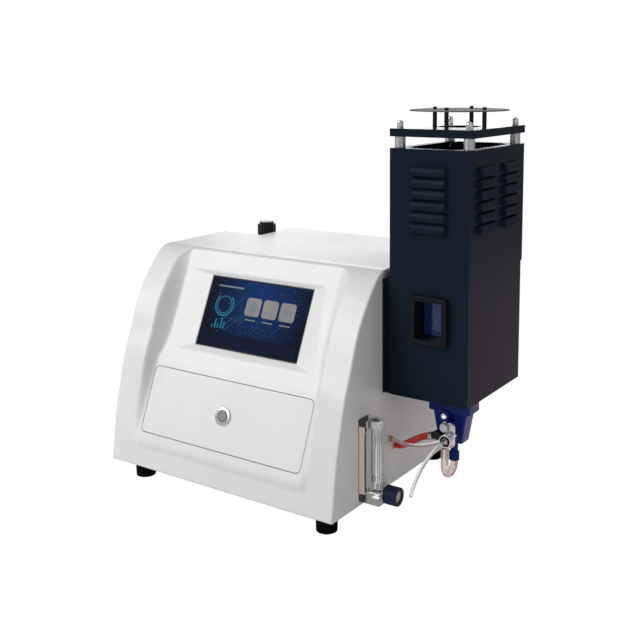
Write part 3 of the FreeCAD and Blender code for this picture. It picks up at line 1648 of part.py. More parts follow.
def make_deflector_disc():
    """The round heat deflector."""
    disc = upright(disc_radius, tower_x, tower_y, disc_bottom, disc_bottom + disc_thick)
    return disc.cut([upright(post_tip_radius + screw_hole_gap, x, y, disc_bottom - overrun,
                             disc_bottom + disc_thick + overrun) for x, y in post_places()])


# Mixing chamber and burner

def chamber_front(z):
    """Where the chamber's front face stands at a height."""
    share = (z - chamber_bottom) / chamber_height
    return chamber_y - (chamber_bottom_depth + (chamber_depth - chamber_bottom_depth) * share) / 2


def rectangle_wire(x, y, z, width, depth):
    """A rectangle about (x, y) at a height."""
    corners = [V(x - width / 2, y - depth / 2, z), V(x + width / 2, y - depth / 2, z),
               V(x + width / 2, y + depth / 2, z), V(x - width / 2, y + depth / 2, z)]
    return Part.makePolygon(corners + [corners[0]])


def boss_front():
    """The front face of the chamber's two bosses."""
    return clamp_front + clamp_thick


def make_mixing_chamber():
    """The cast chamber: flange, tapered body, bosses, burner spigot and drain spigot."""
    x, y = chamber_x, chamber_y
    flange = rounded_plate(chamber_flange_width, chamber_flange_depth, chamber_corner,
                           chamber_flange_bottom, tower_bottom)
    flange.translate(V(x, y, 0))
    body = Part.makeLoft([rectangle_wire(x, y, chamber_bottom, chamber_bottom_width, chamber_bottom_depth),
                          rectangle_wire(x, y, chamber_flange_bottom, chamber_top_width, chamber_depth)],
                         True, True)
    uprights = [e for e in body.Edges if e.BoundBox.ZLength > chamber_height / 2]
    body = body.makeFillet(chamber_corner / 2, uprights)
    spigot = upright(spigot_radius, x, y, tower_bottom - overrun, tower_bottom + spigot_height)
    boss_x = x + chamber_boss_shift
    half = chamber_boss_width / 2
    back = chamber_front(chamber_bottom) + overrun
    boss = block(boss_x - half, boss_x + half, back - chamber_boss_depth - overrun, back,
                 chamber_flange_bottom - chamber_boss_height / 2, chamber_flange_bottom + overrun)
    pin_boss = rod(clamp_pin_radius + shell_wall, V(clamp_screw_x, boss_front(), clamp_screw_z),
                   V(clamp_screw_x, back, clamp_screw_z))
    drain = rod(drain_spigot_radius, V(drain_x, drain_y, chamber_bottom - drain_spigot_length),
                V(drain_x, drain_y, chamber_bottom + overrun))
    casting = joined(flange, body, spigot, boss, pin_boss, drain)
    low = chamber_bottom + chamber_wall
    hollow = centred(x, y, chamber_bottom_width - chamber_wall * 2, chamber_bottom_depth - chamber_wall * 2,
                     low, chamber_flange_bottom)
    cuts = [hollow,
            upright(bore_radius, x, y, chamber_flange_bottom - overrun,
                    tower_bottom + spigot_height + overrun),
            rod(drain_spigot_radius / 2, V(drain_x, drain_y, chamber_bottom - drain_spigot_length - overrun),
                V(drain_x, drain_y, low + overrun)),
            rod(nebulizer_rod_radius + running_gap, V(nebulizer_x, boss_front(), nebulizer_z),
                V(nebulizer_x, y, nebulizer_z)),
            rod(clamp_pin_radius + running_gap, V(clamp_screw_x, boss_front() - overrun, clamp_screw_z),
                V(clamp_screw_x, boss_front() + chamber_boss_depth, clamp_screw_z)),
            rod(gas_stub_radius + running_gap, V(gas_fitting_x, gas_fitting_y, gas_barb_z),
                V(gas_fitting_x, y, gas_barb_z))]
    cuts += [upright(screw_radius + screw_hole_gap, sx, sy, tower_bottom - chamber_screw_length - fit_gap,
                     tower_bottom + overrun) for sx, sy in chamber_screw_places()]
    cuts.append(screw_hole(boss_screw_seat(), V(0, -1, 0), chamber_boss_depth))
    return casting.cut(cuts)


def boss_screw_seat():
    """The seat of the small screw on the front of the chamber's boss."""
    back = chamber_front(chamber_bottom) + overrun
    return V(chamber_x + chamber_boss_shift, back - chamber_boss_depth - overrun,
             chamber_flange_bottom - screw_head_radius)


def make_burner_head():
    """The burner: tube over the spigot, shoulder for the glass, and head with its ports."""
    x, y = chamber_x, chamber_y
    low = tower_bottom + sheet
    top = low + burner_height
    tube = upright(burner_radius, x, y, low, top)
    shoulder = upright(burner_head_radius, x, y, top - burner_head_thick, top)
    tip = upright(burner_tip_radius, x, y, top - least_radius, top + burner_tip_height)
    socket_top = tower_bottom + spigot_height + fit_gap
    cuts = [upright(spigot_radius + burner_bore_gap, x, y, low - overrun, socket_top),
            upright(bore_radius, x, y, socket_top - overrun, top),
            upright(electrode_radius + fit_gap, x, y + electrode_offset, top - burner_head_thick - overrun,
                    top + overrun)]
    for i in range(burner_port_count):
        angle = 2 * math.pi * i / burner_port_count
        cuts.append(upright(burner_port_radius, x + burner_port_circle * math.cos(angle),
                            y + burner_port_circle * math.sin(angle), top - overrun,
                            top + burner_tip_height + overrun))
    cuts.append(upright(burner_port_radius * 2, x, y, top - overrun, top + burner_tip_height + overrun))
    return joined(tube, shoulder, tip).cut(cuts)


def make_flame_shield():
    """The glass chimney round the flame."""
    low = tower_bottom + sheet + burner_height
    return pipe(shield_radius, shield_radius - shield_wall, V(chamber_x, chamber_y, low),
                V(chamber_x, chamber_y, low + shield_height))


def make_igniter_electrode():
    """The electrode in its foot on the tower's floor, up through the burner's shoulder."""
    low = tower_bottom + sheet
    y = chamber_y + electrode_offset
    rod_part = upright(electrode_radius, chamber_x, y, low, low + electrode_height)
    front = chamber_y + burner_radius + fit_gap
    foot = block(chamber_x - electrode_base_width / 2, chamber_x + electrode_base_width / 2, front,
                 front + electrode_base_depth, low, low + electrode_base_height)
    return joined(rod_part, foot)


# Drain, nebulizer and gas fitting

def drain_nut_bottom():
    """The underside of the drain's collar, where its tube begins."""
    return chamber_bottom - drain_spigot_length - drain_nut_length


def make_drain_nut():
    """The blue collar under the drain spigot, with two grooves round it."""
    low = drain_nut_bottom()
    nut = upright(drain_nut_radius, drain_x, drain_y, low, low + drain_nut_length)
    top = low + drain_nut_length + overrun
    cuts = [upright(drain_spigot_radius / 2, drain_x, drain_y, low - overrun, top)]
    for share in drain_groove_shares:
        z = low + drain_nut_length * share
        outer = upright(drain_nut_radius + overrun, drain_x, drain_y, z, z + drain_nut_groove)
        cuts.append(outer.cut(upright(drain_nut_radius - drain_nut_groove, drain_x, drain_y,
                                      z - overrun, z + overrun)))
    return nut.cut(cuts)


def nipple_point(distance):
    """A point on the axis of the air nipple, at a distance from the ring's middle."""
    lean = math.radians(nebulizer_barb_tilt)
    return V(nebulizer_x - distance * math.cos(lean), nebulizer_ring_front + nebulizer_ring_length / 2,
             nebulizer_z - distance * math.sin(lean))


def make_nebulizer():
    """The nebulizer: nose, knurled ring, rod into the chamber and the air nipple at its side."""
    x, z = nebulizer_x, nebulizer_z
    front = nebulizer_ring_front
    back = front + nebulizer_ring_length
    ring = fluted(nebulizer_ring_radius, nebulizer_flute_radius, nebulizer_flute_count,
                  V(x, front, z), V(x, back, z))
    nose = cone(nebulizer_nose_radius, nebulizer_shoulder_radius, V(x, front - nebulizer_nose_length, z),
                V(x, front + least_radius, z))
    stem = rod(nebulizer_rod_radius, V(x, back - overrun, z), V(x, chamber_front(z) + chamber_wall, z))
    nipple = rod(nebulizer_barb_radius, nipple_point(nebulizer_barb_reach), nipple_point(0))
    bore = rod(nebulizer_nose_radius / 4, V(x, front - nebulizer_nose_length - overrun, z),
               V(x, chamber_y, z))
    groove = rod(nebulizer_groove_radius, V(x, front - overrun, z), V(x, front + nebulizer_groove_depth, z))
    hub = rod(nebulizer_shoulder_radius, V(x, front - overrun * 2, z),
              V(x, front + nebulizer_groove_depth + overrun, z))
    return joined(ring, nose, stem, nipple).cut([groove.cut(hub), bore])


def make_clamp_plate():
    """The plate that holds the nebulizer's rod, with an ear for the thumb screw."""
    y0, y1 = clamp_front, clamp_front + clamp_thick
    half = clamp_width / 2
    plate = block(nebulizer_x - half, nebulizer_x + half, y0, y1, clamp_bottom + half, clamp_top - half)
    ends = [rod(half, V(nebulizer_x, y0, z), V(nebulizer_x, y1, z))
            for z in (clamp_bottom + half, clamp_top - half)]
    ear = rod(clamp_ear_radius, V(clamp_screw_x, y0, clamp_screw_z), V(clamp_screw_x, y1, clamp_screw_z))
    holes = [rod(nebulizer_rod_radius + screw_hole_gap, V(nebulizer_x, y0 - overrun, nebulizer_z),
                 V(nebulizer_x, y1 + overrun, nebulizer_z)),
             rod(clamp_pin_radius + screw_hole_gap, V(clamp_screw_x, y0 - overrun, clamp_screw_z),
                 V(clamp_screw_x, y1 + overrun, clamp_screw_z))]
    return joined(plate, ear, *ends).cut(holes)


def make_clamp_screw():
    """The thumb screw: a fluted disc and its pin through the ear into the chamber's boss."""
    back = clamp_front - clamp_standoff
    front = back - clamp_screw_thick
    disc = fluted(clamp_screw_radius, clamp_pin_radius / 4, knob_flute_count,
                  V(clamp_screw_x, front, clamp_screw_z), V(clamp_screw_x, back, clamp_screw_z))
    pin = rod(clamp_pin_radius, V(clamp_screw_x, front + overrun, clamp_screw_z),
              V(clamp_screw_x, boss_front() + clamp_pin_grip, clamp_screw_z))
    return joined(disc, pin)


def nozzle_point(distance):
    """A point on the axis of the gas nozzle, at a distance from the elbow's middle."""
    lean = math.radians(gas_nozzle_tilt)
    return V(gas_fitting_x - distance * math.cos(lean), gas_tube_end_y,
             gas_barb_z - distance * math.sin(lean))


def make_gas_fitting():
    """The black elbow on its stub in the chamber's front, with the nozzle for the gas tube."""
    x, y, z = gas_fitting_x, gas_tube_end_y, gas_barb_z
    half = gas_elbow_side / 2
    elbow = block(x - half, x + half, y - half, y + half, z - half, z + half)
    elbow = elbow.makeFillet(sheet, elbow.Edges)
    stub = rod(gas_stub_radius, V(x, y, z), V(x, chamber_front(z) + chamber_wall, z))
    end = gas_ring_start + gas_ring_length
    nozzle = rod(gas_stub_radius, nozzle_point(end), nozzle_point(0))
    bore = rod(gas_stub_radius / 2, nozzle_point(end + overrun), nozzle_point(0))
    return joined(elbow, stub, nozzle).cut(bore)


def make_gas_ferrule():
    """The brass ferrule that holds the gas tube on its nozzle."""
    return pipe(gas_ring_radius, gas_stub_radius + running_gap, nozzle_point(gas_ring_start),
                nozzle_point(gas_ring_start + gas_ring_length))


# Flow meter

def make_flow_meter_block():
    """The clear block with its float bore, valve bore and the holes of its brass inserts."""
    top = meter_bottom + meter_height
    body = block(0, meter_width, meter_front, meter_front + meter_depth, meter_bottom, top)
    corners = [e for e in body.Edges if e.BoundBox.ZLength > meter_height / 2
               and e.BoundBox.XMin > meter_width / 2]
    body = body.makeChamfer(meter_chamfer, corners)
    x, y, z = meter_bore_x, meter_bore_y, meter_valve_z
    cuts = [upright(meter_bore_radius, x, y, meter_bore_bottom, top - meter_plug_height + overrun),
            upright(meter_plug_radius + running_gap, x, y, top - meter_plug_height, top + overrun),
            upright(meter_bore_radius / 2, x, y, z, meter_bore_bottom + overrun),
            rod(meter_valve_bore, V(meter_valve_start, y, z), V(meter_width + overrun, y, z))]
    cuts += [rod(meter_insert_radius + running_gap, V(-overrun, iy, iz), V(meter_insert_depth, iy, iz))
             for iy, iz in meter_insert_places()]
    return body.cut(cuts)


def make_flow_meter_inserts():
    """The plug over the bore, the valve's gland nut and the two inserts in the case's side."""
    top = meter_bottom + meter_height
    x, y = meter_bore_x, meter_bore_y
    plug = upright(meter_plug_radius, x, y, top - meter_plug_height, top)
    plug = plug.cut(hexagon(meter_plug_socket * 2, V(x, y, top - meter_plug_socket), V(x, y, top + overrun)))
    start = V(meter_width, y, meter_valve_z)
    end = V(meter_width + meter_gland_length, y, meter_valve_z)
    gland = hexagon(meter_gland_across, start, end)
    gland = gland.cut(rod(stem_radius + running_gap, start - V(overrun, 0, 0), end + V(overrun, 0, 0)))
    inserts = [rod(meter_insert_radius, V(-shell_wall - sheet, iy, iz), V(meter_insert_depth, iy, iz))
               for iy, iz in meter_insert_places()]
    return [plug, gland] + inserts


def make_flow_float():
    """The float at rest on the foot of its bore."""
    low = meter_bore_bottom + running_gap
    x, y = meter_bore_x, meter_bore_y
    tip = cone(float_radius / 2, float_radius, V(x, y, low), V(x, y, low + float_length / 2))
    body = upright(float_radius, x, y, low + float_length / 2, low + float_length)
    return joined(tip, body)


def knob_start():
    """The inner face of the flow meter's knob."""
    return meter_width + meter_gland_length + knob_gap


def make_valve_stem():
    """The needle stem that the knob drives in and out."""
    y, z = meter_bore_y, meter_valve_z
    tip = meter_bore_x - stem_tip_length
    point = cone(stem_radius / 3, stem_radius, V(tip, y, z), V(tip + stem_tip_length, y, z))
    shank = rod(stem_radius, V(tip + stem_tip_length, y, z), V(knob_start() + knob_length / 2, y, z))
    return joined(point, shank)


def make_flow_knob():
    """The fluted knob, hollow to the stem, and the silver cap sunk in its face."""
    y, z = meter_bore_y, meter_valve_z
    x0 = knob_start()
    x1 = x0 + knob_length
    knob = fluted(knob_radius, knob_flute_radius, knob_flute_count, V(x0, y, z), V(x0 + knob_length, y, z))
    hole = rod(stem_radius + running_gap, V(x0 - overrun, y, z),
               V(x0 + knob_length / 2 + running_gap, y, z))
    floor = x1 - knob_cap_sink - knob_cap_thick
    sink = rod(knob_cap_radius, V(floor, y, z), V(x1 + overrun, y, z))
    cap = rod(knob_cap_radius, V(floor, y, z), V(floor + knob_cap_thick, y, z))
    rim = [e for e in cap.Edges if e.BoundBox.XMin > floor + knob_cap_thick / 2]
    return [knob.cut([hole, sink]), cap.makeFillet(knob_cap_round, rim)]


def make_scale_strips():
    """The scale on the block's right face and the pale strip down its front."""
    y0 = meter_front + (meter_depth - scale_width) / 2
    scale = block(meter_width, meter_width + scale_thick, y0, y0 + scale_width, scale_bottom,
                  scale_bottom + scale_height)
    strip = block(meter_chamfer, meter_chamfer + meter_insert_radius * 2, meter_front - scale_thick,
                  meter_front, meter_bottom + strip_inset_low, meter_bottom + meter_height - strip_inset_high)
    return [scale, strip]


# Free tubes

def tube_along(name, points, radius):
    """A round tube along straight runs joined by tangent arcs, and a line on what it measures."""
    edges = []
    start = points[0]
    bends = []
    for before, corner, after in zip(points, points[1:], points[2:]):
        come = corner - before
        leave = after - corner
        shorter = min(come.Length, leave.Length)
        turn = come.getAngle(leave)
        reach = run_share * shorter
        bend = reach / math.tan(turn / 2)
        bends.append(bend)
        come.normalize()
        leave.normalize()
        first = corner - come * reach
        last = corner + leave * reach
        inward = (leave - come).normalize()
        middle = corner + inward * (bend / math.cos(turn / 2) - bend)
        edges.append(Part.LineSegment(start, first).toShape())
        edges.append(Part.Arc(first, middle, last).toShape())
        start = last
    edges.append(Part.LineSegment(start, points[-1]).toShape())
    path = Part.Wire(edges)
    ring = Part.Wire([Part.Circle(points[0], points[1] - points[0], radius).toShape()])
    tube = path.makePipeShell([ring], True, False)
    share = tube.Volume / (math.pi * radius ** 2 * path.Length)
    print(name, "length", round(path.Length, 1), "volume share", round(share, 4),
          "radii", [round(b, 1) for b in bends])
    return tube


def gas_tube_route():
    """From the gas port up to the elbow's ferrule."""
    return [V(gas_port_reach, gas_port_y, gas_port_z), V(7.5, 133.5, 72.0), V(16.5, 131.8, 77.2),
            V(26.0, 129.0, 83.6), V(35.0, 125.6, 89.2), V(43.6, 123.0, 94.724),
            nozzle_point(gas_ring_start + gas_ring_length)]


def air_tube_route():
    """From the air port to the nebulizer's side nipple."""
    return [V(air_port_reach, air_port_y, air_port_z), V(15.0, 112.0, 87.0), V(24.5, 112.0, 84.8),
            V(36.0, 111.8, 85.4), V(48.0, 111.3, 88.4), V(60.0, 111.0, 92.595),
            nipple_point(nebulizer_barb_reach)]


def sample_tube_route():
    """From the nebulizer's nose, over and down to its bare end."""
    start = V(nebulizer_x, nebulizer_ring_front - nebulizer_nose_length, nebulizer_z)
    return [start, V(80.0, 93.4, 101.5), V(78.2, 87.4, 98.4), V(74.6, 84.2, 92.6), V(68.6, 83.6, 83.6),
            V(61.6, 83.9, 71.4), V(55.8, 84.1, 58.4), V(51.6, 84.0, 47.4), V(49.4, 84.0, 38.0)]


def drain_tube_route():
    """From the drain's collar down, round a tight bend and up to its bare end."""
    return [V(drain_x, drain_y, drain_nut_bottom()), V(72.3, 145.0, 59.2), V(72.1, 138.8, 53.0),
            V(71.7, 130.2, 53.0), V(71.3, 124.0, 59.2), V(71.0, 123.7, 72.5), V(71.2, 124.6, 85.5)]


# Screws

def base_screw_seats():
    """Each screw's seat, the way its head faces, and its length."""
    foot_length = floor_top + boss_height - foot_recess_depth
    screws = [(V(x, y, foot_recess_depth), V(0, 0, -1), foot_length) for x, y in foot_places()]
    screws += [(seat, V(0, 1, 0), screw_short) for seat in low_rear_seats() + high_rear_seats()]
    screws += [(seat, V(-1, 0, 0), screw_short) for seat in regulator_screw_seats()]
    return screws


def make_panel_screws():
    """All the pan head screws of the case."""
    return [pan_screw(seat, outward, length) for seat, outward, length in base_screw_seats()]


def make_chamber_screws():
    """The four screws through the tower's floor into the chamber, and the one on its boss."""
    screws = [pan_screw(V(x, y, tower_bottom + sheet), V(0, 0, 1), chamber_screw_length + sheet)
              for x, y in chamber_screw_places()]
    screws.append(pan_screw(boss_screw_seat(), V(0, -1, 0), chamber_boss_depth - fit_gap))
    return screws


# Writing the pieces out

def write_out():
    """Builds each piece, moves it into the part's own frame and writes it."""
    os.makedirs("parts", exist_ok=True)
    right_edge = tower_x + disc_radius
    shift = V((case_width - right_edge) / 2, -rear_edge / 2, 0)
    pieces = {
        "front_shell": make_front_shell, "rear_cover": make_rear_cover, "rear_panel": make_rear_panel,
        "base_plate": make_base_plate, "rubber_feet": make_rubber_feet, "panel_screws": make_panel_screws,
        "display_module": make_display_module, "lower_panel": make_lower_panel,
        "ignition_bezel": make_ignition_bezel, "ignition_button": make_ignition_button,
        "power_supply": make_power_supply, "main_board": make_main_board, "gas_valve": make_gas_valve,
        "igniter_module": make_igniter_module, "detector_housing": make_detector_housing,
        "lens_tube": make_lens_tube, "lens_and_filter": make_lens_and_filter,
        "power_inlet": make_power_inlet, "power_rocker": make_power_rocker,
        "fuse_drawer": make_fuse_drawer, "serial_port": make_serial_port,
        "hose_fittings": make_hose_fittings, "regulator_body": make_regulator_body,
        "regulator_knob": make_regulator_knob, "regulator_bracket": make_regulator_bracket,
        "filter_bowl": make_filter_bowl, "bowl_drain": make_bowl_drain,
        "pressure_gauge": make_pressure_gauge, "gauge_needle": make_gauge_needle,
        "burner_bracket": make_burner_bracket, "lower_housing": make_lower_housing,
        "upper_housing": make_upper_housing, "window_frame": make_window_frame,
        "window_glass": make_window_glass, "top_tray": make_top_tray,
        "tray_standoffs": make_tray_standoffs, "acorn_nuts": make_acorn_nuts,
        "deflector_posts": make_deflector_posts, "deflector_disc": make_deflector_disc,
        "mixing_chamber": make_mixing_chamber, "chamber_screws": make_chamber_screws,
        "burner_head": make_burner_head, "flame_shield": make_flame_shield,
        "igniter_electrode": make_igniter_electrode, "drain_nut": make_drain_nut,
        "nebulizer": make_nebulizer, "clamp_plate": make_clamp_plate, "clamp_screw": make_clamp_screw,
        "gas_fitting": make_gas_fitting, "gas_ferrule": make_gas_ferrule,
        "flow_meter_block": make_flow_meter_block, "flow_meter_inserts": make_flow_meter_inserts,
        "flow_float": make_flow_float, "valve_stem": make_valve_stem, "flow_knob": make_flow_knob,
        "scale_strips": make_scale_strips,
    }
    tubes = {
        "gas_tube": (gas_tube_route(), gas_tube_radius), "air_tube": (air_tube_route(), air_tube_radius),
        "sample_tube": (sample_tube_route(), sample_tube_radius),
        "drain_tube": (drain_tube_route(), drain_tube_radius),
    }
    shapes = {name: make() for name, make in pieces.items()}
    for name, (route, radius) in tubes.items():
        shapes[name] = tube_along(name, route, radius)
    for name, shape in shapes.items():
        whole = Part.makeCompound(shape) if isinstance(shape, list) else shape
        whole.translate(shift)
        whole.exportStep("parts/" + name + ".step")
        print(name, len(whole.Solids), whole.isValid(), round(whole.Volume))


write_out()
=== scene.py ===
"""Flame photometer on a plain pale floor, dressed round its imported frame.

The instrument is a white moulded case with a sloping screen front, a dark burner tower on
its right side, the sample and gas path under the tower and an air regulator at the rear left.
Lengths are metres. +Z is up, the front faces -Y and the tower stands at +X.
"""

from __future__ import annotations

import json
import logging
import math
from dataclasses import dataclass, field
from enum import Enum
from typing import Callable, Iterable, Sequence

import bmesh
import bpy
import numpy as np
from mathutils import Matrix, Vector


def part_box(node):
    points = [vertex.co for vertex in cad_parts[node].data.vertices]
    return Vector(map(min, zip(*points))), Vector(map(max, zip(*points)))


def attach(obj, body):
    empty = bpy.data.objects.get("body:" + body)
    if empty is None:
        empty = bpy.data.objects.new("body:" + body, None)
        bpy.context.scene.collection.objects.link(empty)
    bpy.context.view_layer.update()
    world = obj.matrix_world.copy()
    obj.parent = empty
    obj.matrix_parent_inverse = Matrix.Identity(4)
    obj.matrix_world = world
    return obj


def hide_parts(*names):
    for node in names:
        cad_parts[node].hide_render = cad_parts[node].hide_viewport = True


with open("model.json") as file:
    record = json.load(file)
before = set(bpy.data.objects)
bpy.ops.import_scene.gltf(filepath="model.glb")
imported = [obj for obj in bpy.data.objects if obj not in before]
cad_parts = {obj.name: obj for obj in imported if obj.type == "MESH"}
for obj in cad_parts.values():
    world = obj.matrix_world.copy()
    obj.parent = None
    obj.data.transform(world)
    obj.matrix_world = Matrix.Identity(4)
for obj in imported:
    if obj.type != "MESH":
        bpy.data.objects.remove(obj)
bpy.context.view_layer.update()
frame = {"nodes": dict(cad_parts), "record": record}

LOG = logging.getLogger("photometer")

Colour = tuple[float, float, float]
Point = tuple[float, float, float]
Outline = Sequence[tuple[float, float]]
VertRow = list[bmesh.types.BMVert]

ROOT_BODY = "instrument"
MERGE_DISTANCE = 1e-6
NEAR_DISTANCE = 1e-5
NOISE_LOW = 0.3
NOISE_HIGH = 0.7
WHITE = (1.0, 1.0, 1.0)
FLAT_ANGLE = math.radians(0.6)
SMOOTH_ANGLE = math.radians(34.0)
HALF = 0.5


# Finishes


class Grain(Enum):
    """The direction in which a metal's fine brushing runs."""

    NONE = (1.0, 1.0, 1.0)
    ALONG_X = (0.03, 1.0, 1.0)
    ALONG_Y = (1.0, 0.03, 1.0)
    ALONG_Z = (1.0, 1.0, 0.03)


class NodeBoard:
    """The node tree of a material or of the world, filled one node at a time."""

    def __init__(self, name: str, is_world: bool = False) -> None:
        """Starts a material or a world with an empty tree.

        Args:
            name: Its name.
            is_world: Whether it is a world.
        """
        self.owner = (bpy.data.worlds if is_world else bpy.data.materials).new(name)
        self.owner.use_nodes = True
        self.tree = self.owner.node_tree
        self.tree.nodes.clear()
        self.output = self.add("ShaderNodeOutputWorld" if is_world else "ShaderNodeOutputMaterial")

    def add(self, kind: str, **inputs: object) -> bpy.types.Node:
        """Adds a node and sets or links its inputs.

        Args:
            kind: The node's type name.
            inputs: Values or output sockets, by socket name with _ for spaces.

        Returns:
            The new node.
        """
        node = self.tree.nodes.new(kind)
        for key, value in inputs.items():
            self.feed(node, key.replace("_", " "), value)
        return node

    def feed(self, node: bpy.types.Node, socket: str | int, value: object) -> None:
        """Sets a socket's value, or links an output socket to it.

        Args:
            node: The node that takes the value.
            socket: The input's name or number.
            value: A number, a colour, a vector or an output socket.
        """
        target = node.inputs[socket]
        if isinstance(value, bpy.types.NodeSocket):
            self.tree.links.new(value, target)
        elif isinstance(value, tuple) and len(value) == 3 and target.type == "RGBA":
            target.default_value = (*value, 1.0)
        else:
            target.default_value = value

    def place(self, scale: Sequence[float] = (1.0, 1.0, 1.0)) -> bpy.types.NodeSocket:
        """Gives object coordinates stretched along each axis.

        Args:
            scale: The stretch along X, Y and Z.

        Returns:
            The vector's socket.
        """
        coordinates = self.add("ShaderNodeTexCoord")
        mapping = self.add("ShaderNodeMapping", Vector=coordinates.outputs["Object"])
        mapping.inputs["Scale"].default_value = tuple(scale)
        return mapping.outputs["Vector"]

    def noise(self, scale: float, detail: float, where: bpy.types.NodeSocket) -> bpy.types.NodeSocket:
        """Gives a soft noise between 0 and 1.

        Args:
            scale: Features per metre.
            detail: How many finer layers are added.
            where: The coordinates.

        Returns:
            The noise's socket.
        """
        node = self.add("ShaderNodeTexNoise", Vector=where, Scale=scale, Detail=detail)
        return node.outputs["Fac"]

    def spread(self, value: bpy.types.NodeSocket, low: float, high: float) -> bpy.types.NodeSocket:
        """Spreads a noise, which mostly keeps to its middle values, over a range.

        Args:
            value: The socket to spread.
            low: The result where the value is low.
            high: The result where the value is high.

        Returns:
            The result's socket.
        """
        node = self.add("ShaderNodeMapRange", Value=value, From_Min=NOISE_LOW, From_Max=NOISE_HIGH,
                        To_Min=low, To_Max=high)
        return node.outputs["Result"]

    def blend(self, share: bpy.types.NodeSocket, first: Colour, second: Colour) -> bpy.types.NodeSocket:
        """Mixes two colours by a share.

        Args:
            share: The socket of the share.
            first: The colour at 0.
            second: The colour at 1.

        Returns:
            The colour's socket.
        """
        node = self.add("ShaderNodeMix")
        node.data_type = "RGBA"
        self.feed(node, "Factor", share)
        first_colour, second_colour = (socket for socket in node.inputs if socket.type == "RGBA")
        first_colour.default_value = (*first, 1.0)
        second_colour.default_value = (*second, 1.0)
        return next(socket for socket in node.outputs if socket.type == "RGBA")

    def mix(self, share: bpy.types.NodeSocket, first: bpy.types.Node,
            second: bpy.types.Node) -> bpy.types.Node:
        """Mixes two surfaces by a share.

        Args:
            share: The socket of the share.
            first: The surface at 0.
            second: The surface at 1.

        Returns:
            The mixed surface's node.
        """
        node = self.add("ShaderNodeMixShader")
        for socket, value in enumerate((share, first.outputs[0], second.outputs[0])):
            self.feed(node, socket, value)
        return node

    def combine(self, operation: str, first: bpy.types.NodeSocket,
                second: bpy.types.NodeSocket) -> bpy.types.NodeSocket:
        """Combines two numbers.

        Args:
            operation: The sum that is done.
            first: The first number's socket.
            second: The second number's socket.

        Returns:
            The result's socket.
        """
        node = self.add("ShaderNodeMath")
        node.operation = operation
        self.feed(node, 0, first)
        self.feed(node, 1, second)
        return node.outputs[0]

    def distance(self, where: bpy.types.NodeSocket, centre: Sequence[float]) -> bpy.types.NodeSocket:
        """Gives the distance from a fixed point.

        Args:
            where: The coordinates.
            centre: The point.

        Returns:
            The distance's socket.
        """
        node = self.add("ShaderNodeVectorMath")
        node.operation = "DISTANCE"
        self.feed(node, 0, where)
        self.feed(node, 1, centre)
        return node.outputs["Value"]

    def bump(self, height: bpy.types.NodeSocket, depth: float, strength: float) -> bpy.types.NodeSocket:
        """Turns a height into a bumped normal.

        Args:
            height: The height's socket.
            depth: The bump's depth in metres.
            strength: The share of the bump that shows.

        Returns:
            The normal's socket.
        """
        node = self.add("ShaderNodeBump", Height=height, Distance=depth, Strength=strength)
        return node.outputs["Normal"]

    def finish(self, shader: bpy.types.Node) -> bpy.types.Material | bpy.types.World:
        """Links the surface and hands the material or the world over.

        Args:
            shader: The node whose first output is the surface.

        Returns:
            The finished material or world.
        """
        self.feed(self.output, "Surface", shader.outputs[0])
        return self.owner


@dataclass(frozen=True)
class Moulded:
    """Moulded plastic or rubber: an even colour with faint clouds and a fine grain."""

    name: str
    colour: Colour
    roughness: float = 0.42
    clouds: float = 0.03
    grain_scale: float = 1400.0
    grain_depth: float = 0.00003
    grain_strength: float = 0.25
    coat: float = 0.0
    shine: float = 0.5
    cloud_scale: float = 14.0
    roughness_swing: float = 0.08

    def build(self) -> bpy.types.Material:
        """Builds the material.

        Returns:
            The material.
        """
        board = NodeBoard(self.name)
        where = board.place()
        cloud = board.noise(self.cloud_scale, 3.0, where)
        grain = board.noise(self.grain_scale, 2.0, where)
        darker = tuple(c * (1.0 - self.clouds) for c in self.colour)
        lighter = tuple(min(c * (1.0 + self.clouds), 1.0) for c in self.colour)
        swing = self.roughness_swing * self.roughness
        shader = board.add(
            "ShaderNodeBsdfPrincipled",
            Base_Color=board.blend(board.spread(cloud, 0.0, 1.0), darker, lighter),
            Roughness=board.spread(cloud, self.roughness - swing, self.roughness + swing),
            Normal=board.bump(grain, self.grain_depth, self.grain_strength),
            Coat_Weight=self.coat,
            Specular_IOR_Level=self.shine,
        )
        return board.finish(shader)


@dataclass(frozen=True)
class PowderCoat:
    """Baked powder paint on sheet metal: a pebbled skin of faintly uneven colour."""

    name: str
    colour: Colour
    roughness: float = 0.38
    pebble_scale: float = 900.0
    pebble_depth: float = 0.00012
    pebble_strength: float = 0.35
    cloud_scale: float = 9.0
    shine: float = 0.5

    def build(self) -> bpy.types.Material:
        """Builds the material.

        Returns:
            The material.
        """
        board = NodeBoard(self.name)
        where = board.place()
        cloud = board.noise(self.cloud_scale, 4.0, where)
        pebbles = board.add("ShaderNodeTexVoronoi", Vector=where, Scale=self.pebble_scale)
        pebbles.feature = "SMOOTH_F1"
        faded = tuple(min(c * 1.08, 1.0) for c in self.colour)
        shader = board.add(
            "ShaderNodeBsdfPrincipled",
            Base_Color=board.blend(board.spread(cloud, 0.0, 1.0), self.colour, faded),
            Roughness=board.spread(cloud, self.roughness * 0.9, self.roughness * 1.1),
            Specular_IOR_Level=self.shine,
            Normal=board.bump(pebbles.outputs["Distance"], self.pebble_depth, self.pebble_strength),
        )
        return board.finish(shader)


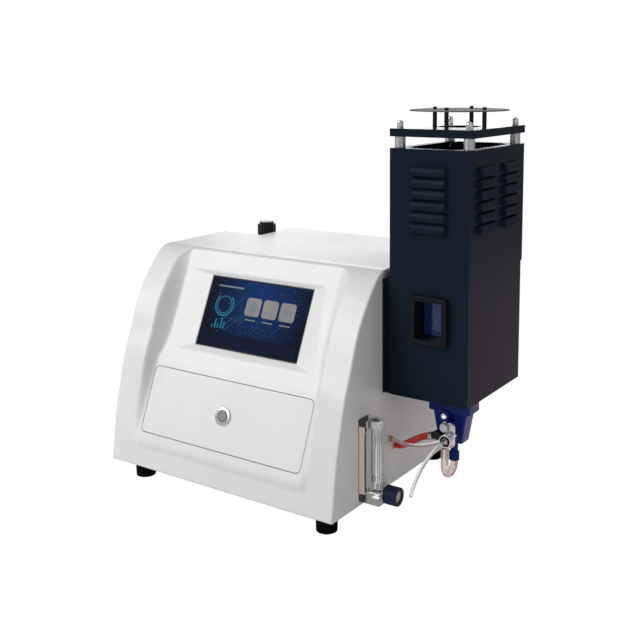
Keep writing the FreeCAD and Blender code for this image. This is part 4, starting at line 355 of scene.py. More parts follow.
@dataclass(frozen=True)
class Metal:
    """Bare or plated metal with fine brushing and faint smudges."""

    name: str
    colour: Colour
    roughness: float = 0.25
    grain: Grain = Grain.NONE
    brush_scale: float = 2600.0
    brush_depth: float = 0.00002
    brush_strength: float = 0.15
    smudge_scale: float = 45.0

    def build(self) -> bpy.types.Material:
        """Builds the material.

        Returns:
            The material.
        """
        board = NodeBoard(self.name)
        brushed = board.noise(self.brush_scale, 2.0, board.place(self.grain.value))
        smudge = board.noise(self.smudge_scale, 4.0, board.place())
        worn = tuple(c * 0.9 for c in self.colour)
        shader = board.add(
            "ShaderNodeBsdfPrincipled",
            Base_Color=board.blend(board.spread(smudge, 0.0, 1.0), worn, self.colour),
            Metallic=1.0,
            Roughness=board.spread(smudge, self.roughness * 0.8, self.roughness * 1.25),
            Normal=board.bump(brushed, self.brush_depth, self.brush_strength),
        )
        return board.finish(shader)


@dataclass(frozen=True)
class Clear:
    """Glass or clear plastic that lets light through, with a faint waviness."""

    name: str
    colour: Colour
    roughness: float = 0.03
    passing: float = 1.0
    index: float = 1.45
    wave_scale: float = 60.0
    wave_depth: float = 0.00005
    wave_strength: float = 0.1

    def build(self) -> bpy.types.Material:
        """Builds the material.

        Returns:
            The material.
        """
        board = NodeBoard(self.name)
        wave = board.noise(self.wave_scale, 2.0, board.place())
        tinted = tuple(c * 0.94 for c in self.colour)
        shader = board.add(
            "ShaderNodeBsdfPrincipled",
            Base_Color=board.blend(board.spread(wave, 0.0, 1.0), tinted, self.colour),
            Roughness=self.roughness,
            IOR=self.index,
            Transmission_Weight=self.passing,
            Normal=board.bump(wave, self.wave_depth, self.wave_strength),
        )
        return board.finish(shader)


@dataclass(frozen=True)
class Lit:
    """A glowing shape on the screen, a little uneven as a backlight is."""

    name: str
    colour: Colour
    strength: float = 1.0
    roughness: float = 0.3
    shine: float = 0.02
    cloud_scale: float = 30.0

    def build(self) -> bpy.types.Material:
        """Builds the material.

        Returns:
            The material.
        """
        board = NodeBoard(self.name)
        cloud = board.noise(self.cloud_scale, 2.0, board.place())
        dim = tuple(c * 0.85 for c in self.colour)
        glow = board.blend(board.spread(cloud, 0.0, 1.0), dim, self.colour)
        shader = board.add(
            "ShaderNodeBsdfPrincipled",
            Base_Color=(0.002, 0.002, 0.003),
            Roughness=self.roughness,
            Emission_Color=glow,
            Emission_Strength=self.strength,
            Specular_IOR_Level=self.shine,
        )
        return board.finish(shader)


Finish = Moulded | PowderCoat | Metal | Clear | Lit


class Palette:
    """The instrument's finishes, each built once and handed out by name."""

    SHELL = Moulded("shell_white", (0.80, 0.81, 0.795), roughness=0.38, coat=0.15)
    PANEL = Moulded("panel_white", (0.79, 0.80, 0.79), roughness=0.34, grain_depth=0.00002)
    COVER = PowderCoat("cover_white", (0.775, 0.785, 0.77), roughness=0.42, pebble_depth=0.00005)
    REAR = PowderCoat("rear_grey", (0.70, 0.71, 0.70), roughness=0.5)
    BASE = PowderCoat("base_grey", (0.36, 0.37, 0.38), roughness=0.5)
    TOWER = PowderCoat("tower_blue_black", (0.0080, 0.0144, 0.0260), roughness=0.3, pebble_depth=0.00006,
                       shine=0.035)
    TRAY_TOP = PowderCoat("tray_blue_black", (0.0085, 0.0140, 0.0240), roughness=0.25, pebble_depth=0.00004,
                          shine=0.3)
    DISC = PowderCoat("disc_grey", (0.10, 0.102, 0.105), roughness=0.5, pebble_depth=0.00001, shine=0.02)
    RUBBER = Moulded("foot_rubber", (0.004, 0.004, 0.004), roughness=0.8, shine=0.05, grain_depth=0.00008)
    BLACK = Moulded("black_plastic", (0.009, 0.010, 0.011), roughness=0.34, shine=0.35)
    WINDOW = Moulded("window_black", (0.007, 0.009, 0.013), roughness=0.34, shine=0.09)
    NAVY = Moulded("knob_navy", (0.011, 0.019, 0.050), roughness=0.34, shine=0.12)
    BLUE = Moulded("chamber_blue", (0.006, 0.018, 0.17), roughness=0.28, shine=0.18, grain_depth=0.00002)
    GREEN = Moulded("board_green", (0.01, 0.09, 0.035), roughness=0.35, coat=0.3)
    SALMON = Moulded("strip_salmon", (0.95, 0.76, 0.66), roughness=0.5)
    PAPER = Moulded("scale_white", (0.72, 0.73, 0.70), roughness=0.5)
    INK = Moulded("scale_ink", (0.015, 0.015, 0.018), roughness=0.5)
    CHROME = Metal("chrome", (0.80, 0.81, 0.83), roughness=0.10)
    STEEL = Metal("bright_steel", (0.56, 0.57, 0.58), roughness=0.24, grain=Grain.ALONG_Z)
    CAP = Metal("brushed_cap", (0.42, 0.43, 0.44), roughness=0.3, grain=Grain.ALONG_X,
                brush_strength=0.4)
    BUTTON = Metal("button_grey", (0.145, 0.15, 0.155), roughness=0.34, grain=Grain.ALONG_X,
                   brush_strength=0.4)
    ZINC = Metal("zinc_plate", (0.55, 0.56, 0.57), roughness=0.38, grain=Grain.ALONG_X)
    ALUMINIUM = Metal("satin_aluminium", (0.66, 0.67, 0.68), roughness=0.3, grain=Grain.ALONG_Z)
    CAST = Metal("cast_aluminium", (0.50, 0.51, 0.52), roughness=0.45, brush_scale=900.0)
    CLAMP = Metal("clamp_grey", (0.70, 0.71, 0.73), roughness=0.36, grain=Grain.ALONG_Z)
    BRASS = Metal("turned_brass", (0.55, 0.42, 0.22), roughness=0.24, grain=Grain.ALONG_Y)
    ACRYLIC = Clear("clear_acrylic", (0.90, 0.92, 0.92), index=1.2, passing=0.92)
    GLASS = Clear("clear_glass", (0.95, 0.98, 0.97), index=1.47)
    BLUE_GLASS = Clear("cobalt_glass", (0.045, 0.13, 0.44), roughness=0.05, passing=0.7)
    BOWL = Clear("bowl_clear", (0.88, 0.91, 0.90), roughness=0.08)
    RED_TUBE = Clear("red_tube", (0.92, 0.065, 0.045), roughness=0.22, passing=0.35)
    CLEAR_TUBE = Clear("clear_tube", (0.90, 0.90, 0.88), roughness=0.12, passing=0.8)
    PINK_TUBE = Clear("drain_tube_pink", (0.86, 0.72, 0.70), roughness=0.15, passing=0.72)
    NEEDLE = Moulded("needle_red", (0.45, 0.015, 0.01), roughness=0.3)
    DIAL = Moulded("dial_white", (0.72, 0.73, 0.72), roughness=0.35, coat=0.5)

    _built: dict[str, bpy.types.Material] = {}

    @classmethod
    def give(cls, finish: Finish) -> bpy.types.Material:
        """Gives a finish's material, building it the first time.

        Args:
            finish: One of the finishes.

        Returns:
            Its material.
        """
        if finish.name not in cls._built:
            cls._built[finish.name] = finish.build()
        return cls._built[finish.name]


# Mesh tools


def mesh_object(name: str, grid: bmesh.types.BMesh, finish: Finish) -> bpy.types.Object:
    """Turns an edit mesh into a piece with one finish.

    Args:
        name: The piece's name.
        grid: The edit mesh, which is freed.
        finish: The piece's finish.

    Returns:
        The new piece.
    """
    bmesh.ops.recalc_face_normals(grid, faces=grid.faces)
    mesh = bpy.data.meshes.new(name)
    grid.to_mesh(mesh)
    grid.free()
    mesh.materials.append(Palette.give(finish))
    piece = bpy.data.objects.new(name, mesh)
    bpy.context.scene.collection.objects.link(piece)
    return piece


def smooth(piece: bpy.types.Object) -> bpy.types.Object:
    """Shades a piece smoothly up to its sharp edges.

    Args:
        piece: The piece.

    Returns:
        The same piece.
    """
    mesh = piece.data
    mesh.polygons.foreach_set("use_smooth", [True] * len(mesh.polygons))
    grid = bmesh.new()
    grid.from_mesh(mesh)
    for edge in grid.edges:
        edge.smooth = edge.calc_face_angle(0.0) < SMOOTH_ANGLE
    grid.to_mesh(mesh)
    grid.free()
    return piece


def rounded(piece: bpy.types.Object, width: float, segments: int = 3) -> bpy.types.Object:
    """Rounds a piece's sharp edges with a bevel and evens its shading.

    Args:
        piece: The piece.
        width: The bevel's width.
        segments: The steps across it.

    Returns:
        The same piece.
    """
    bevel = piece.modifiers.new("rounded_edges", "BEVEL")
    bevel.width = width
    bevel.segments = segments
    bevel.limit_method = "ANGLE"
    bevel.angle_limit = SMOOTH_ANGLE
    bevel.use_clamp_overlap = True
    bevel.harden_normals = True
    return piece


def rides(piece: bpy.types.Object, body: str) -> bpy.types.Object:
    """Lets a piece move with a body, and logs it.

    Args:
        piece: The piece.
        body: The body's name.

    Returns:
        The same piece.
    """
    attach(piece, body)
    LOG.info("built %s on %s", piece.name, body)
    return piece


BODY_OF_NODE = {node: body for body, nodes in frame["record"]["behaviour"]["bodies"].items()
                for node in nodes}


def softened(node: str, finish: Finish, width: float, segments: int = 3) -> bpy.types.Object:
    """Dresses a node with a body of the same form whose edges are rounded.

    Args:
        node: The node's name.
        finish: The piece's finish.
        width: The width of the rounding.
        segments: The steps across it.

    Returns:
        The dressed piece, which stands for the node.
    """
    grid = bmesh.new()
    grid.from_mesh(frame["nodes"][node].data)
    bmesh.ops.remove_doubles(grid, verts=grid.verts, dist=MERGE_DISTANCE)
    bmesh.ops.dissolve_limit(grid, angle_limit=FLAT_ANGLE, verts=grid.verts, edges=grid.edges)
    piece = rounded(smooth(mesh_object(node + "_dressed", grid, finish)), width, segments)
    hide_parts(node)
    return rides(piece, BODY_OF_NODE[node])


def painted(piece: bpy.types.Object, finish: Finish, test: Callable[[Vector], bool]) -> bpy.types.Object:
    """Gives the faces whose corners all pass a test a second finish.

    Args:
        piece: The piece.
        finish: The second finish.
        test: Says of a corner's place whether it is painted.

    Returns:
        The same piece.
    """
    mesh = piece.data
    mesh.materials.append(Palette.give(finish))
    index = len(mesh.materials) - 1
    passed = [test(corner.co) for corner in mesh.vertices]
    for face in mesh.polygons:
        if all(passed[corner] for corner in face.vertices):
            face.material_index = index
    return piece


def kept(node: str, finish: Finish) -> None:
    """Gives a node that is shown as it is its finish.

    Args:
        node: The node's name.
        finish: Its finish.
    """
    shown = frame["nodes"][node]
    shown.data.materials.clear()
    shown.data.materials.append(Palette.give(finish))
    LOG.info("kept %s", node)


def ring_of(grid: bmesh.types.BMesh, points: Iterable[Sequence[float]]) -> list[bmesh.types.BMVert]:
    """Adds a row of points to an edit mesh.

    Args:
        grid: The edit mesh.
        points: The points.

    Returns:
        The new vertices.
    """
    return [grid.verts.new(point) for point in points]


def bridge(grid: bmesh.types.BMesh, first: Sequence[bmesh.types.BMVert],
           second: Sequence[bmesh.types.BMVert], closed: bool = True) -> None:
    """Fills the strip between two rows of the same length.

    Args:
        grid: The edit mesh.
        first: One row.
        second: The other row.
        closed: Whether the rows are rings.
    """
    count = len(first)
    for i in range(count if closed else count - 1):
        j = (i + 1) % count
        grid.faces.new((first[i], first[j], second[j], second[i]))


def frame_of(direction: Sequence[float]) -> Matrix:
    """Gives the turn that takes +Z to a direction and keeps +X level.

    Args:
        direction: The direction.

    Returns:
        The turn.
    """
    up = Vector(direction).normalized()
    side = Vector((0.0, 0.0, 1.0)).cross(up)
    if side.length < MERGE_DISTANCE:
        side = Vector((1.0, 0.0, 0.0))
    side.normalize()
    back = up.cross(side)
    return Matrix((side, back, up)).transposed().to_4x4()


def flat_plate(name: str, finish: Finish, outline: Outline, low: float, high: float,
               place: Matrix) -> bpy.types.Object:
    """Raises an outline into a plate and sets it in place.

    Args:
        name: The piece's name.
        finish: Its finish.
        outline: The outline's points, in order.
        low: The height of its back.
        high: The height of its front.
        place: Where its own axes stand.

    Returns:
        The new piece.
    """
    grid = bmesh.new()
    back = ring_of(grid, [place @ Vector((x, y, low)) for x, y in outline])
    front = ring_of(grid, [place @ Vector((x, y, high)) for x, y in outline])
    bridge(grid, back, front)
    grid.faces.new(back)
    grid.faces.new(front)
    return smooth(mesh_object(name, grid, finish))


def soft_rectangle(width: float, height: float, corner: float, steps: int = 8,
                   centre: tuple[float, float] = (0.0, 0.0)) -> list[tuple[float, float]]:
    """Gives the outline of a rectangle with round corners.

    Args:
        width: Its width.
        height: Its height.
        corner: The corner's radius.
        steps: The steps round each corner.
        centre: Its middle.

    Returns:
        The outline's points.
    """
    points = []
    for quarter, (sx, sy) in enumerate(((1, 1), (-1, 1), (-1, -1), (1, -1))):
        x = centre[0] + sx * (width * HALF - corner)
        y = centre[1] + sy * (height * HALF - corner)
        for i in range(steps + 1):
            angle = math.pi * HALF * (quarter + i / steps)
            points.append((x + corner * math.cos(angle), y + corner * math.sin(angle)))
    return points


# Stage


@dataclass(frozen=True)
class Lamp:
    """A soft square lamp: where it hangs, what it looks at, its side and its power in watts."""

    name: str
    place: Point
    target: Point
    size: float
    power: float

    def hang(self) -> None:
        """Hangs the lamp so that it looks at its target."""
        light = bpy.data.lights.new(self.name, "AREA")
        light.size = self.size
        light.energy = self.power
        lamp = bpy.data.objects.new(self.name, light)
        lamp.location = self.place
        lamp.rotation_euler = (Vector(self.target) - Vector(self.place)).to_track_quat("-Z", "Y").to_euler()
        bpy.context.scene.collection.objects.link(lamp)


@dataclass
class Studio:
    """The white floor, the soft lamps and the camera at the photograph's angle."""

    floor_size: float = 12.0
    floor_colour: Colour = (0.86, 0.86, 0.86)
    patch_place: Point = (0.65, 0.65, 0.0)
    patch_reach: float = 0.82
    patch_core: float = 0.9
    patch_colour: Colour = (1.0, 0.74, 0.80)
    world_light: float = 0.37
    camera_place: Point = (0.65958, -0.95663, 0.50368)
    turn_degrees: float = 33.836
    drop_degrees: float = 8.280
    roll_degrees: float = -0.348
    lens: float = 53.74
    shift: tuple[float, float] = (-0.03125, -0.164)
    lamps: tuple[Lamp, ...] = (
        Lamp("key", (-1.25, -1.75, 1.5), (0.0, 0.0, 0.2), 1.5, 34.0),
        Lamp("fill", (1.9, -0.7, 0.9), (0.0, 0.0, 0.25), 1.2, 1.3),
        Lamp("back", (-0.95, 1.75, 0.7), (0.0, 0.0, 0.35), 1.3, 12.0),
    )

    def build(self) -> None:
        """Builds the floor, the world, the lamps and the camera."""
        self.make_floor()
        self.make_world()
        for lamp in self.lamps:
            lamp.hang()
        self.make_camera()
        bpy.context.scene.view_settings.view_transform = "Standard"

    def make_floor(self) -> None:
        """Lays the floor under the feet: white where it is seen, and pale in what it throws back."""
        grid = bmesh.new()
        reach = self.floor_size * HALF
        corners = [grid.verts.new(p) for p in ((-reach, -reach, 0), (reach, -reach, 0),
                                               (reach, reach, 0), (-reach, reach, 0))]
        grid.faces.new(corners)
        mesh = bpy.data.meshes.new("floor")
        grid.to_mesh(mesh)
        grid.free()
        floor = bpy.data.objects.new("floor", mesh)
        bpy.context.scene.collection.objects.link(floor)
        board = NodeBoard("floor_white")
        path = board.add("ShaderNodeLightPath")
        lit = board.add("ShaderNodeBsdfDiffuse", Color=self.floor_colour)
        plain = board.add("ShaderNodeEmission", Color=WHITE, Strength=1.0)
        seen = self.seen_through(board, path)
        mesh.materials.append(board.finish(board.mix(seen, self.with_patch(board, path, lit), plain)))

    @staticmethod
    def seen_through(board: NodeBoard, path: bpy.types.Node) -> bpy.types.NodeSocket:
        """Says whether a ray comes from the camera, straight or through something clear."""
        return board.combine("MAXIMUM", path.outputs["Is Camera Ray"], path.outputs["Is Transmission Ray"])

    def with_patch(self, board: NodeBoard, path: bpy.types.Node, lit: bpy.types.Node) -> bpy.types.Node:
        """Adds the warm glowing patch, seen only in reflections, that paints a warm reflection on the tower's
        right side.

        Args:
            board: The floor's node board.
            path: Its light path node.
            lit: The floor's plain surface.

        Returns:
            The floor's surface with the patch.
        """
        place = board.add("ShaderNodeNewGeometry").outputs["Position"]
        near = board.add("ShaderNodeMapRange", Value=board.distance(place, self.patch_place),
                         From_Min=self.patch_reach, From_Max=self.patch_reach * self.patch_core)
        # Painted reflection: glossy rays see a warm glowing patch here, which is no lamp.
        share = board.combine("MULTIPLY", near.outputs["Result"], path.outputs["Is Glossy Ray"])
        bright = board.add("ShaderNodeEmission", Color=self.patch_colour, Strength=1.0)
        return board.mix(share, lit, bright)

    def make_world(self) -> None:
        """Makes the world an even light, white where it is seen, straight or through something clear."""
        board = NodeBoard("studio_world", is_world=True)
        path = board.add("ShaderNodeLightPath")
        light = board.add("ShaderNodeBackground", Color=WHITE, Strength=self.world_light)
        white = board.add("ShaderNodeBackground", Color=WHITE, Strength=1.0)
        surface = board.mix(self.seen_through(board, path), light, white)
        bpy.context.scene.world = board.finish(surface)

    def make_camera(self) -> None:
        """Sets the camera where the photograph was taken from."""
        turn = math.radians(self.turn_degrees)
        drop = math.radians(self.drop_degrees)
        ahead = Vector((-math.sin(turn) * math.cos(drop), math.cos(turn) * math.cos(drop),
                        -math.sin(drop)))
        right = Vector((math.cos(turn), math.sin(turn), 0.0))
        up = right.cross(ahead)
        stand = Matrix((right, up, -ahead)).transposed().to_4x4()
        roll = Matrix.Rotation(math.radians(self.roll_degrees), 4, "Z")
        camera = bpy.data.objects.new("camera", bpy.data.cameras.new("camera"))
        camera.data.sensor_fit = "HORIZONTAL"
        camera.data.lens = self.lens
        camera.data.shift_x, camera.data.shift_y = self.shift
        camera.matrix_world = Matrix.Translation(self.camera_place) @ stand @ roll
        bpy.context.scene.collection.objects.link(camera)
        bpy.context.scene.camera = camera


# Free tubes


@dataclass(frozen=True)
class TubeRoute:
    """A free tube: its route, its thickness and what its end is."""

    node: str
    points: tuple[Point, ...]
    diameter: float
    length: float
    far_end: str
    stiffness: str
    finish: Finish


@dataclass
class Tubing:
    """The four free tubes of the gas, the air, the sample and the drain."""

    ring_steps: int = 10
    spline_steps: int = 14
    routes: tuple[TubeRoute, ...] = (
        TubeRoute("gas_tube",
                  ((0.11305, -0.0244, 0.0720), (0.11855, -0.0244, 0.0720), (0.12755, -0.0261, 0.0772),
                   (0.13705, -0.0289, 0.0836), (0.14605, -0.0323, 0.0892), (0.15465, -0.0349, 0.0947),
                   (0.16248, -0.0349, 0.0970)),
                  0.008, 0.0574, "object", "medium", Palette.RED_TUBE),
        TubeRoute("air_tube",
                  ((0.11905, -0.0459, 0.0870), (0.12605, -0.0459, 0.0870), (0.13555, -0.0459, 0.0848),
                   (0.14705, -0.0461, 0.0854), (0.15905, -0.0466, 0.0884), (0.17105, -0.0469, 0.0926),
                   (0.18228, -0.0469, 0.0976)),
                  0.004, 0.0655, "object", "limp", Palette.CLEAR_TUBE),
        TubeRoute("sample_tube",
                  ((0.19105, -0.0555, 0.1015), (0.19105, -0.0645, 0.1015), (0.18925, -0.0705, 0.0984),
                   (0.18565, -0.0737, 0.0926), (0.17965, -0.0743, 0.0836), (0.17265, -0.0740, 0.0714),
                   (0.16685, -0.0738, 0.0584), (0.16265, -0.0739, 0.0474), (0.16045, -0.0739, 0.0380)),
                  0.004, 0.0836, "bare", "limp", Palette.CLEAR_TUBE),
        TubeRoute("drain_tube",
                  ((0.18335, -0.0129, 0.0660), (0.18335, -0.0129, 0.0592), (0.18315, -0.0191, 0.0530),
                   (0.18275, -0.0277, 0.0530), (0.18235, -0.0339, 0.0592), (0.18205, -0.0342, 0.0725),
                   (0.18225, -0.0333, 0.0855)),
                  0.009, 0.0578, "bare", "medium", Palette.PINK_TUBE),
    )

    def build(self) -> None:
        """Draws each tube along its route."""
        for route in self.routes:
            self.draw(route)

    def draw(self, route: TubeRoute) -> None:
        """Draws one tube.

        Args:
            route: The tube's route and facts.
        """
        curve = bpy.data.curves.new(route.node + "_hose", "CURVE")
        curve.dimensions = "3D"
        spline = curve.splines.new("NURBS")
        spline.points.add(len(route.points) - 1)
        for control, point in zip(spline.points, route.points):
            control.co = (*point, 1.0)
        spline.order_u = 3
        spline.use_endpoint_u = True
        spline.resolution_u = self.spline_steps
        curve.bevel_depth = route.diameter * HALF
        curve.bevel_resolution = self.ring_steps
        curve.use_fill_caps = True
        curve.materials.append(Palette.give(route.finish))
        hose = bpy.data.objects.new(route.node + "_hose", curve)
        bpy.context.scene.collection.objects.link(hose)
        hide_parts(route.node)
        rides(hose, BODY_OF_NODE[route.node])


# Case


@dataclass
class SmoothLine:
    """A smooth line through points, level at its far end."""

    points: tuple[tuple[float, float], ...]

    def sample(self, count: int) -> np.ndarray:
        """Gives points spread evenly along the line.

        Args:
            count: How many.

        Returns:
            One row of depth and height for each.
        """
        knots = np.array(self.points)
        gaps = np.hypot(*np.diff(knots, axis=0).T)
        length = np.concatenate([[0.0], np.cumsum(gaps)])
        number = len(knots)
        system = np.zeros((number, number))
        wanted = np.zeros((number, 2))
        start = (knots[1] - knots[0]) / gaps[0]
        system[0, 0] = system[-1, -1] = 1.0
        wanted[0] = start
        wanted[-1] = (1.0, 0.0)
        for i in range(1, number - 1):
            before, after = gaps[i - 1], gaps[i]
            system[i, i - 1:i + 2] = (1.0 / before, 2.0 / before + 2.0 / after, 1.0 / after)
            wanted[i] = 3.0 * ((knots[i] - knots[i - 1]) / before ** 2
                               + (knots[i + 1] - knots[i]) / after ** 2)
        slopes = np.linalg.solve(system, wanted)
        rows = []
        for place in np.linspace(0.0, length[-1], count):
            i = min(int(np.searchsorted(length, place, side="right")) - 1, number - 2)
            gap = gaps[i]
            t = (place - length[i]) / gap
            rows.append(knots[i] * (2 * t ** 3 - 3 * t ** 2 + 1)
                        + knots[i + 1] * (3 * t ** 2 - 2 * t ** 3)
                        + slopes[i] * gap * (t ** 3 - 2 * t ** 2 + t)
                        + slopes[i + 1] * gap * (t ** 3 - t ** 2))
        return np.array(rows)


@dataclass
class FrontShell:
    """The moulded front: a curved face with a sloping recess, a pad for the panel and soft edges."""

    left: float = -0.22645
    right: float = 0.11105
    front: float = -0.1579
    foot: float = 0.026
    height: float = 0.2605
    depth: float = 0.114
    profile_shares: tuple[tuple[float, float], ...] = (
        (0.0, 0.0), (0.035, 0.100), (0.092, 0.256), (0.148, 0.356), (0.243, 0.507), (0.334, 0.605),
        (0.467, 0.7535), (0.639, 0.874), (0.754, 0.937), (0.873, 0.983), (1.0, 1.0))
    edge: float = 0.0022
    edge_steps: int = 6
    wall: float = 0.0022
    seam: float = 0.099
    lip: float = 0.017
    lip_drop: float = 0.0125
    recess_inset: tuple[float, float] = (0.0375, 0.037)
    wall_run_low: float = 0.0075
    wall_run_high: float = 0.015
    wall_rise_runs: float = 3.0
    wall_shares: tuple[tuple[float, float], ...] = ((0.0, 0.0), (0.2, 0.22), (0.45, 0.55), (0.75, 0.86),
                                                    (1.0, 1.0))
    pad_start: float = 0.024
    pad_low: float = 0.034
    pad_high: float = 0.1292
    pad_setback: float = 0.0018
    pad_tilt: float = math.radians(22.67)
    ledge_run: float = 0.010
    ledge_drop: float = 0.0032
    floor_tilt: float = math.radians(25.03)
    recess_top: float = 0.258
    recess_corner: float = 0.020
    screen_size: tuple[float, float] = (0.154, 0.0868)
    screen_middle: tuple[float, float] = (-0.05435, 0.1895)
    surround: float = 0.001
    bevel_depth: float = 0.004
    bevel_left: float = 0.031
    bevel_right: tuple[float, float] = (0.0175, 0.030)
    bevel_top: float = 0.0065
    bevel_bottom: float = 0.0075
    panel_size: tuple[float, float] = (0.243, 0.0817)
    panel_middle: tuple[float, float] = (-0.05775, 0.0816)
    panel_corner: float = 0.006
    panel_seam: float = 0.0007
    panel_margin: float = 0.0013
    pocket_depth: float = 0.0015
    column_step: float = 0.0017
    row_step: float = 0.0014
    softness: float = 0.0016
    curve_steps: int = 4000

    def depth_of_pad(self, height: float) -> float:
        """Gives how far back the pad or the recess's floor stands at a height.

        Args:
            height: The height over the underside.

        Returns:
            The depth behind the front's foot.
        """
        slope = math.tan(self.pad_tilt)
        if height <= self.pad_high:
            return self.pad_setback + (height - self.pad_low) * slope
        edge = self.pad_setback + (self.pad_high - self.pad_low) * slope
        ledge = edge + self.ledge_run * slope + self.ledge_drop
        if height < self.pad_high + self.ledge_run:
            return edge + (height - self.pad_high) / self.ledge_run * (ledge - edge)
        return ledge + (height - self.pad_high - self.ledge_run) * math.tan(self.floor_tilt)

    def wall_share(self, x: float, height: float, top: float) -> float:
        """Gives how much of the recess's depth is reached at a place.

        Args:
            x: The place across the case.
            height: Its height over the underside.
            top: The height at which the recess ends there.

        Returns:
            A share from 0 to 1.
        """
        low_x = self.left + self.recess_inset[0]
        high_x = self.right - self.recess_inset[1]
        inside = min(x - low_x, high_x - x)
        rise = min(max((height - self.pad_high) / (self.ledge_run * self.wall_rise_runs), 0.0), 1.0)
        run = self.wall_run_low + (self.wall_run_high - self.wall_run_low) * rise
        across = float(np.interp(inside / run, *zip(*self.wall_shares)))
        if height < self.pad_low:
            across *= min(max((height - self.pad_start) / (self.pad_low - self.pad_start), 0.0), 1.0)
        if height > top:
            across = 0.0
        return across

    def screen_share(self, x: float, slope_height: float) -> float:
        """Gives how much of the screen pocket's depth is reached at a place on the recess's floor.

        Args:
            x: The place across the case.
            slope_height: The place up the slope from the screen's middle.

        Returns:
            A share from 0 at the pocket's edge to 1 at the glass.
        """
        half_width = self.screen_size[0] * HALF + self.surround
        half_height = self.screen_size[1] * HALF + self.surround
        aside = x - self.screen_middle[0]
        up = (slope_height + half_height + self.bevel_bottom) / (
            2 * half_height + self.bevel_bottom + self.bevel_top)
        bevel_right = self.bevel_right[1] + (self.bevel_right[0] - self.bevel_right[1]) * min(max(up, 0), 1)
        gaps = ((half_width + self.bevel_left + aside) / self.bevel_left,
                (half_width + bevel_right - aside) / bevel_right,
                (half_height + self.bevel_bottom + slope_height) / self.bevel_bottom,
                (half_height + self.bevel_top - slope_height) / self.bevel_top)
        return min(max(min(gaps), 0.0), 1.0)

    def columns(self) -> np.ndarray:
        """Gives the places of the grid's columns across the case.

        Returns:
            The places, with the edges of the holes among them.
        """
        marks = [self.left + self.edge, self.right - self.edge]
        for middle, width in ((self.screen_middle[0], self.screen_size[0] + 2 * self.surround),
                              (self.panel_middle[0], self.panel_size[0] + 2 * self.panel_margin)):
            marks += [middle - width * HALF, middle + width * HALF]
        return fill_between(sorted(marks), self.column_step)

    def window_heights(self) -> tuple[float, float]:
        """Gives the lower and upper edge of the window over the case's underside."""
        half = (self.screen_size[1] * HALF + self.surround) * math.cos(self.floor_tilt)
        return self.screen_middle[1] - half, self.screen_middle[1] + half

    def panel_heights(self) -> tuple[float, float]:
        """Gives the lower and upper edge of the panel's place over the case's underside."""
        half = (self.panel_size[1] * HALF + self.panel_margin) * math.cos(self.pad_tilt)
        return self.panel_middle[1] - half, self.panel_middle[1] + half

    def rows(self) -> np.ndarray:
        """Follows the front's curve up the case.

        Returns:
            Depth and height for each row of the grid.
        """
        points = tuple((y * self.depth, z * self.height) for y, z in self.profile_shares)
        fine = SmoothLine(points).sample(self.curve_steps)
        marks = [0.0, *self.panel_heights(), *self.window_heights(), self.recess_top]
        lengths = np.concatenate([[0.0], np.cumsum(np.hypot(*np.diff(fine, axis=0).T))])
        stops = [float(np.interp(mark, fine[:, 1], lengths)) for mark in sorted(marks)]
        stops.append(float(lengths[-1]))
        places = fill_between(stops, self.row_step)
        return np.stack([np.interp(places, lengths, fine[:, 0]), np.interp(places, lengths, fine[:, 1])], 1)

    def offsets(self, columns: np.ndarray, rows: np.ndarray) -> np.ndarray:
        """Works out how far the recess and the pocket push the face back at each grid point.

        Args:
            columns: The places across.
            rows: Depth and height of each row.

        Returns:
            A table of depths, one row for each grid row.
        """
        low_x = self.left + self.recess_inset[0]
        high_x = self.right - self.recess_inset[1]
        slope = math.cos(self.floor_tilt)
        table = np.zeros((len(rows), len(columns)))
        pocket = np.zeros_like(table)
        for i, (y, z) in enumerate(rows):
            depth = self.depth_of_pad(z) - y
            if z > self.pad_high:
                depth = max(depth, 0.0)
            up = (z - self.screen_middle[1]) / slope
            for j, x in enumerate(columns):
                near = min(x - low_x, high_x - x)
                fall = 0.0
                if 0.0 <= near < self.recess_corner:
                    fall = self.recess_corner - math.sqrt(
                        self.recess_corner ** 2 - (self.recess_corner - near) ** 2)
                table[i, j] = depth * self.wall_share(x, z, self.recess_top - fall)
                if z > self.pad_high + self.ledge_run * HALF:
                    pocket[i, j] = self.screen_share(x, up) * self.bevel_depth / slope
        return softened_table(table, columns, rows, self.softness) + softened_table(
            pocket, columns, rows, self.softness * HALF)

    def build(self) -> bpy.types.Object:
        """Builds the shell.

        Returns:
            The shell, which stands for its node.
        """
        columns = self.columns()
        rows = self.rows()
        table = self.offsets(columns, rows)
        grid = bmesh.new()
        verts = [[grid.verts.new((x, self.front + rows[i, 0] + table[i, j], self.foot + rows[i, 1]))
                  for j, x in enumerate(columns)] for i in range(len(rows))]
        self.fill_face(grid, verts, columns, rows)
        self.fill_panel_ring(grid, verts, columns, rows)
        self.fill_sides(grid, verts, rows)
        self.fill_lip(grid, rows)
        bmesh.ops.remove_doubles(grid, verts=grid.verts, dist=NEAR_DISTANCE)
        shell = smooth(mesh_object("front_shell_dressed", grid, Palette.SHELL))
        thick = shell.modifiers.new("wall", "SOLIDIFY")
        thick.thickness = self.wall
        thick.offset = -1.0
        even = shell.modifiers.new("even_shading", "WEIGHTED_NORMAL")
        even.keep_sharp = True
        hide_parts("front_shell")
        return rides(shell, ROOT_BODY)

    def panel_range(self, columns: np.ndarray, rows: np.ndarray) -> tuple[int, int, int, int]:
        """Gives the first and last row and column that the panel's place lies on."""
        return self.hole_range(columns, rows, self.panel_middle[0],
                               self.panel_size[0] * HALF + self.panel_margin, self.panel_heights())

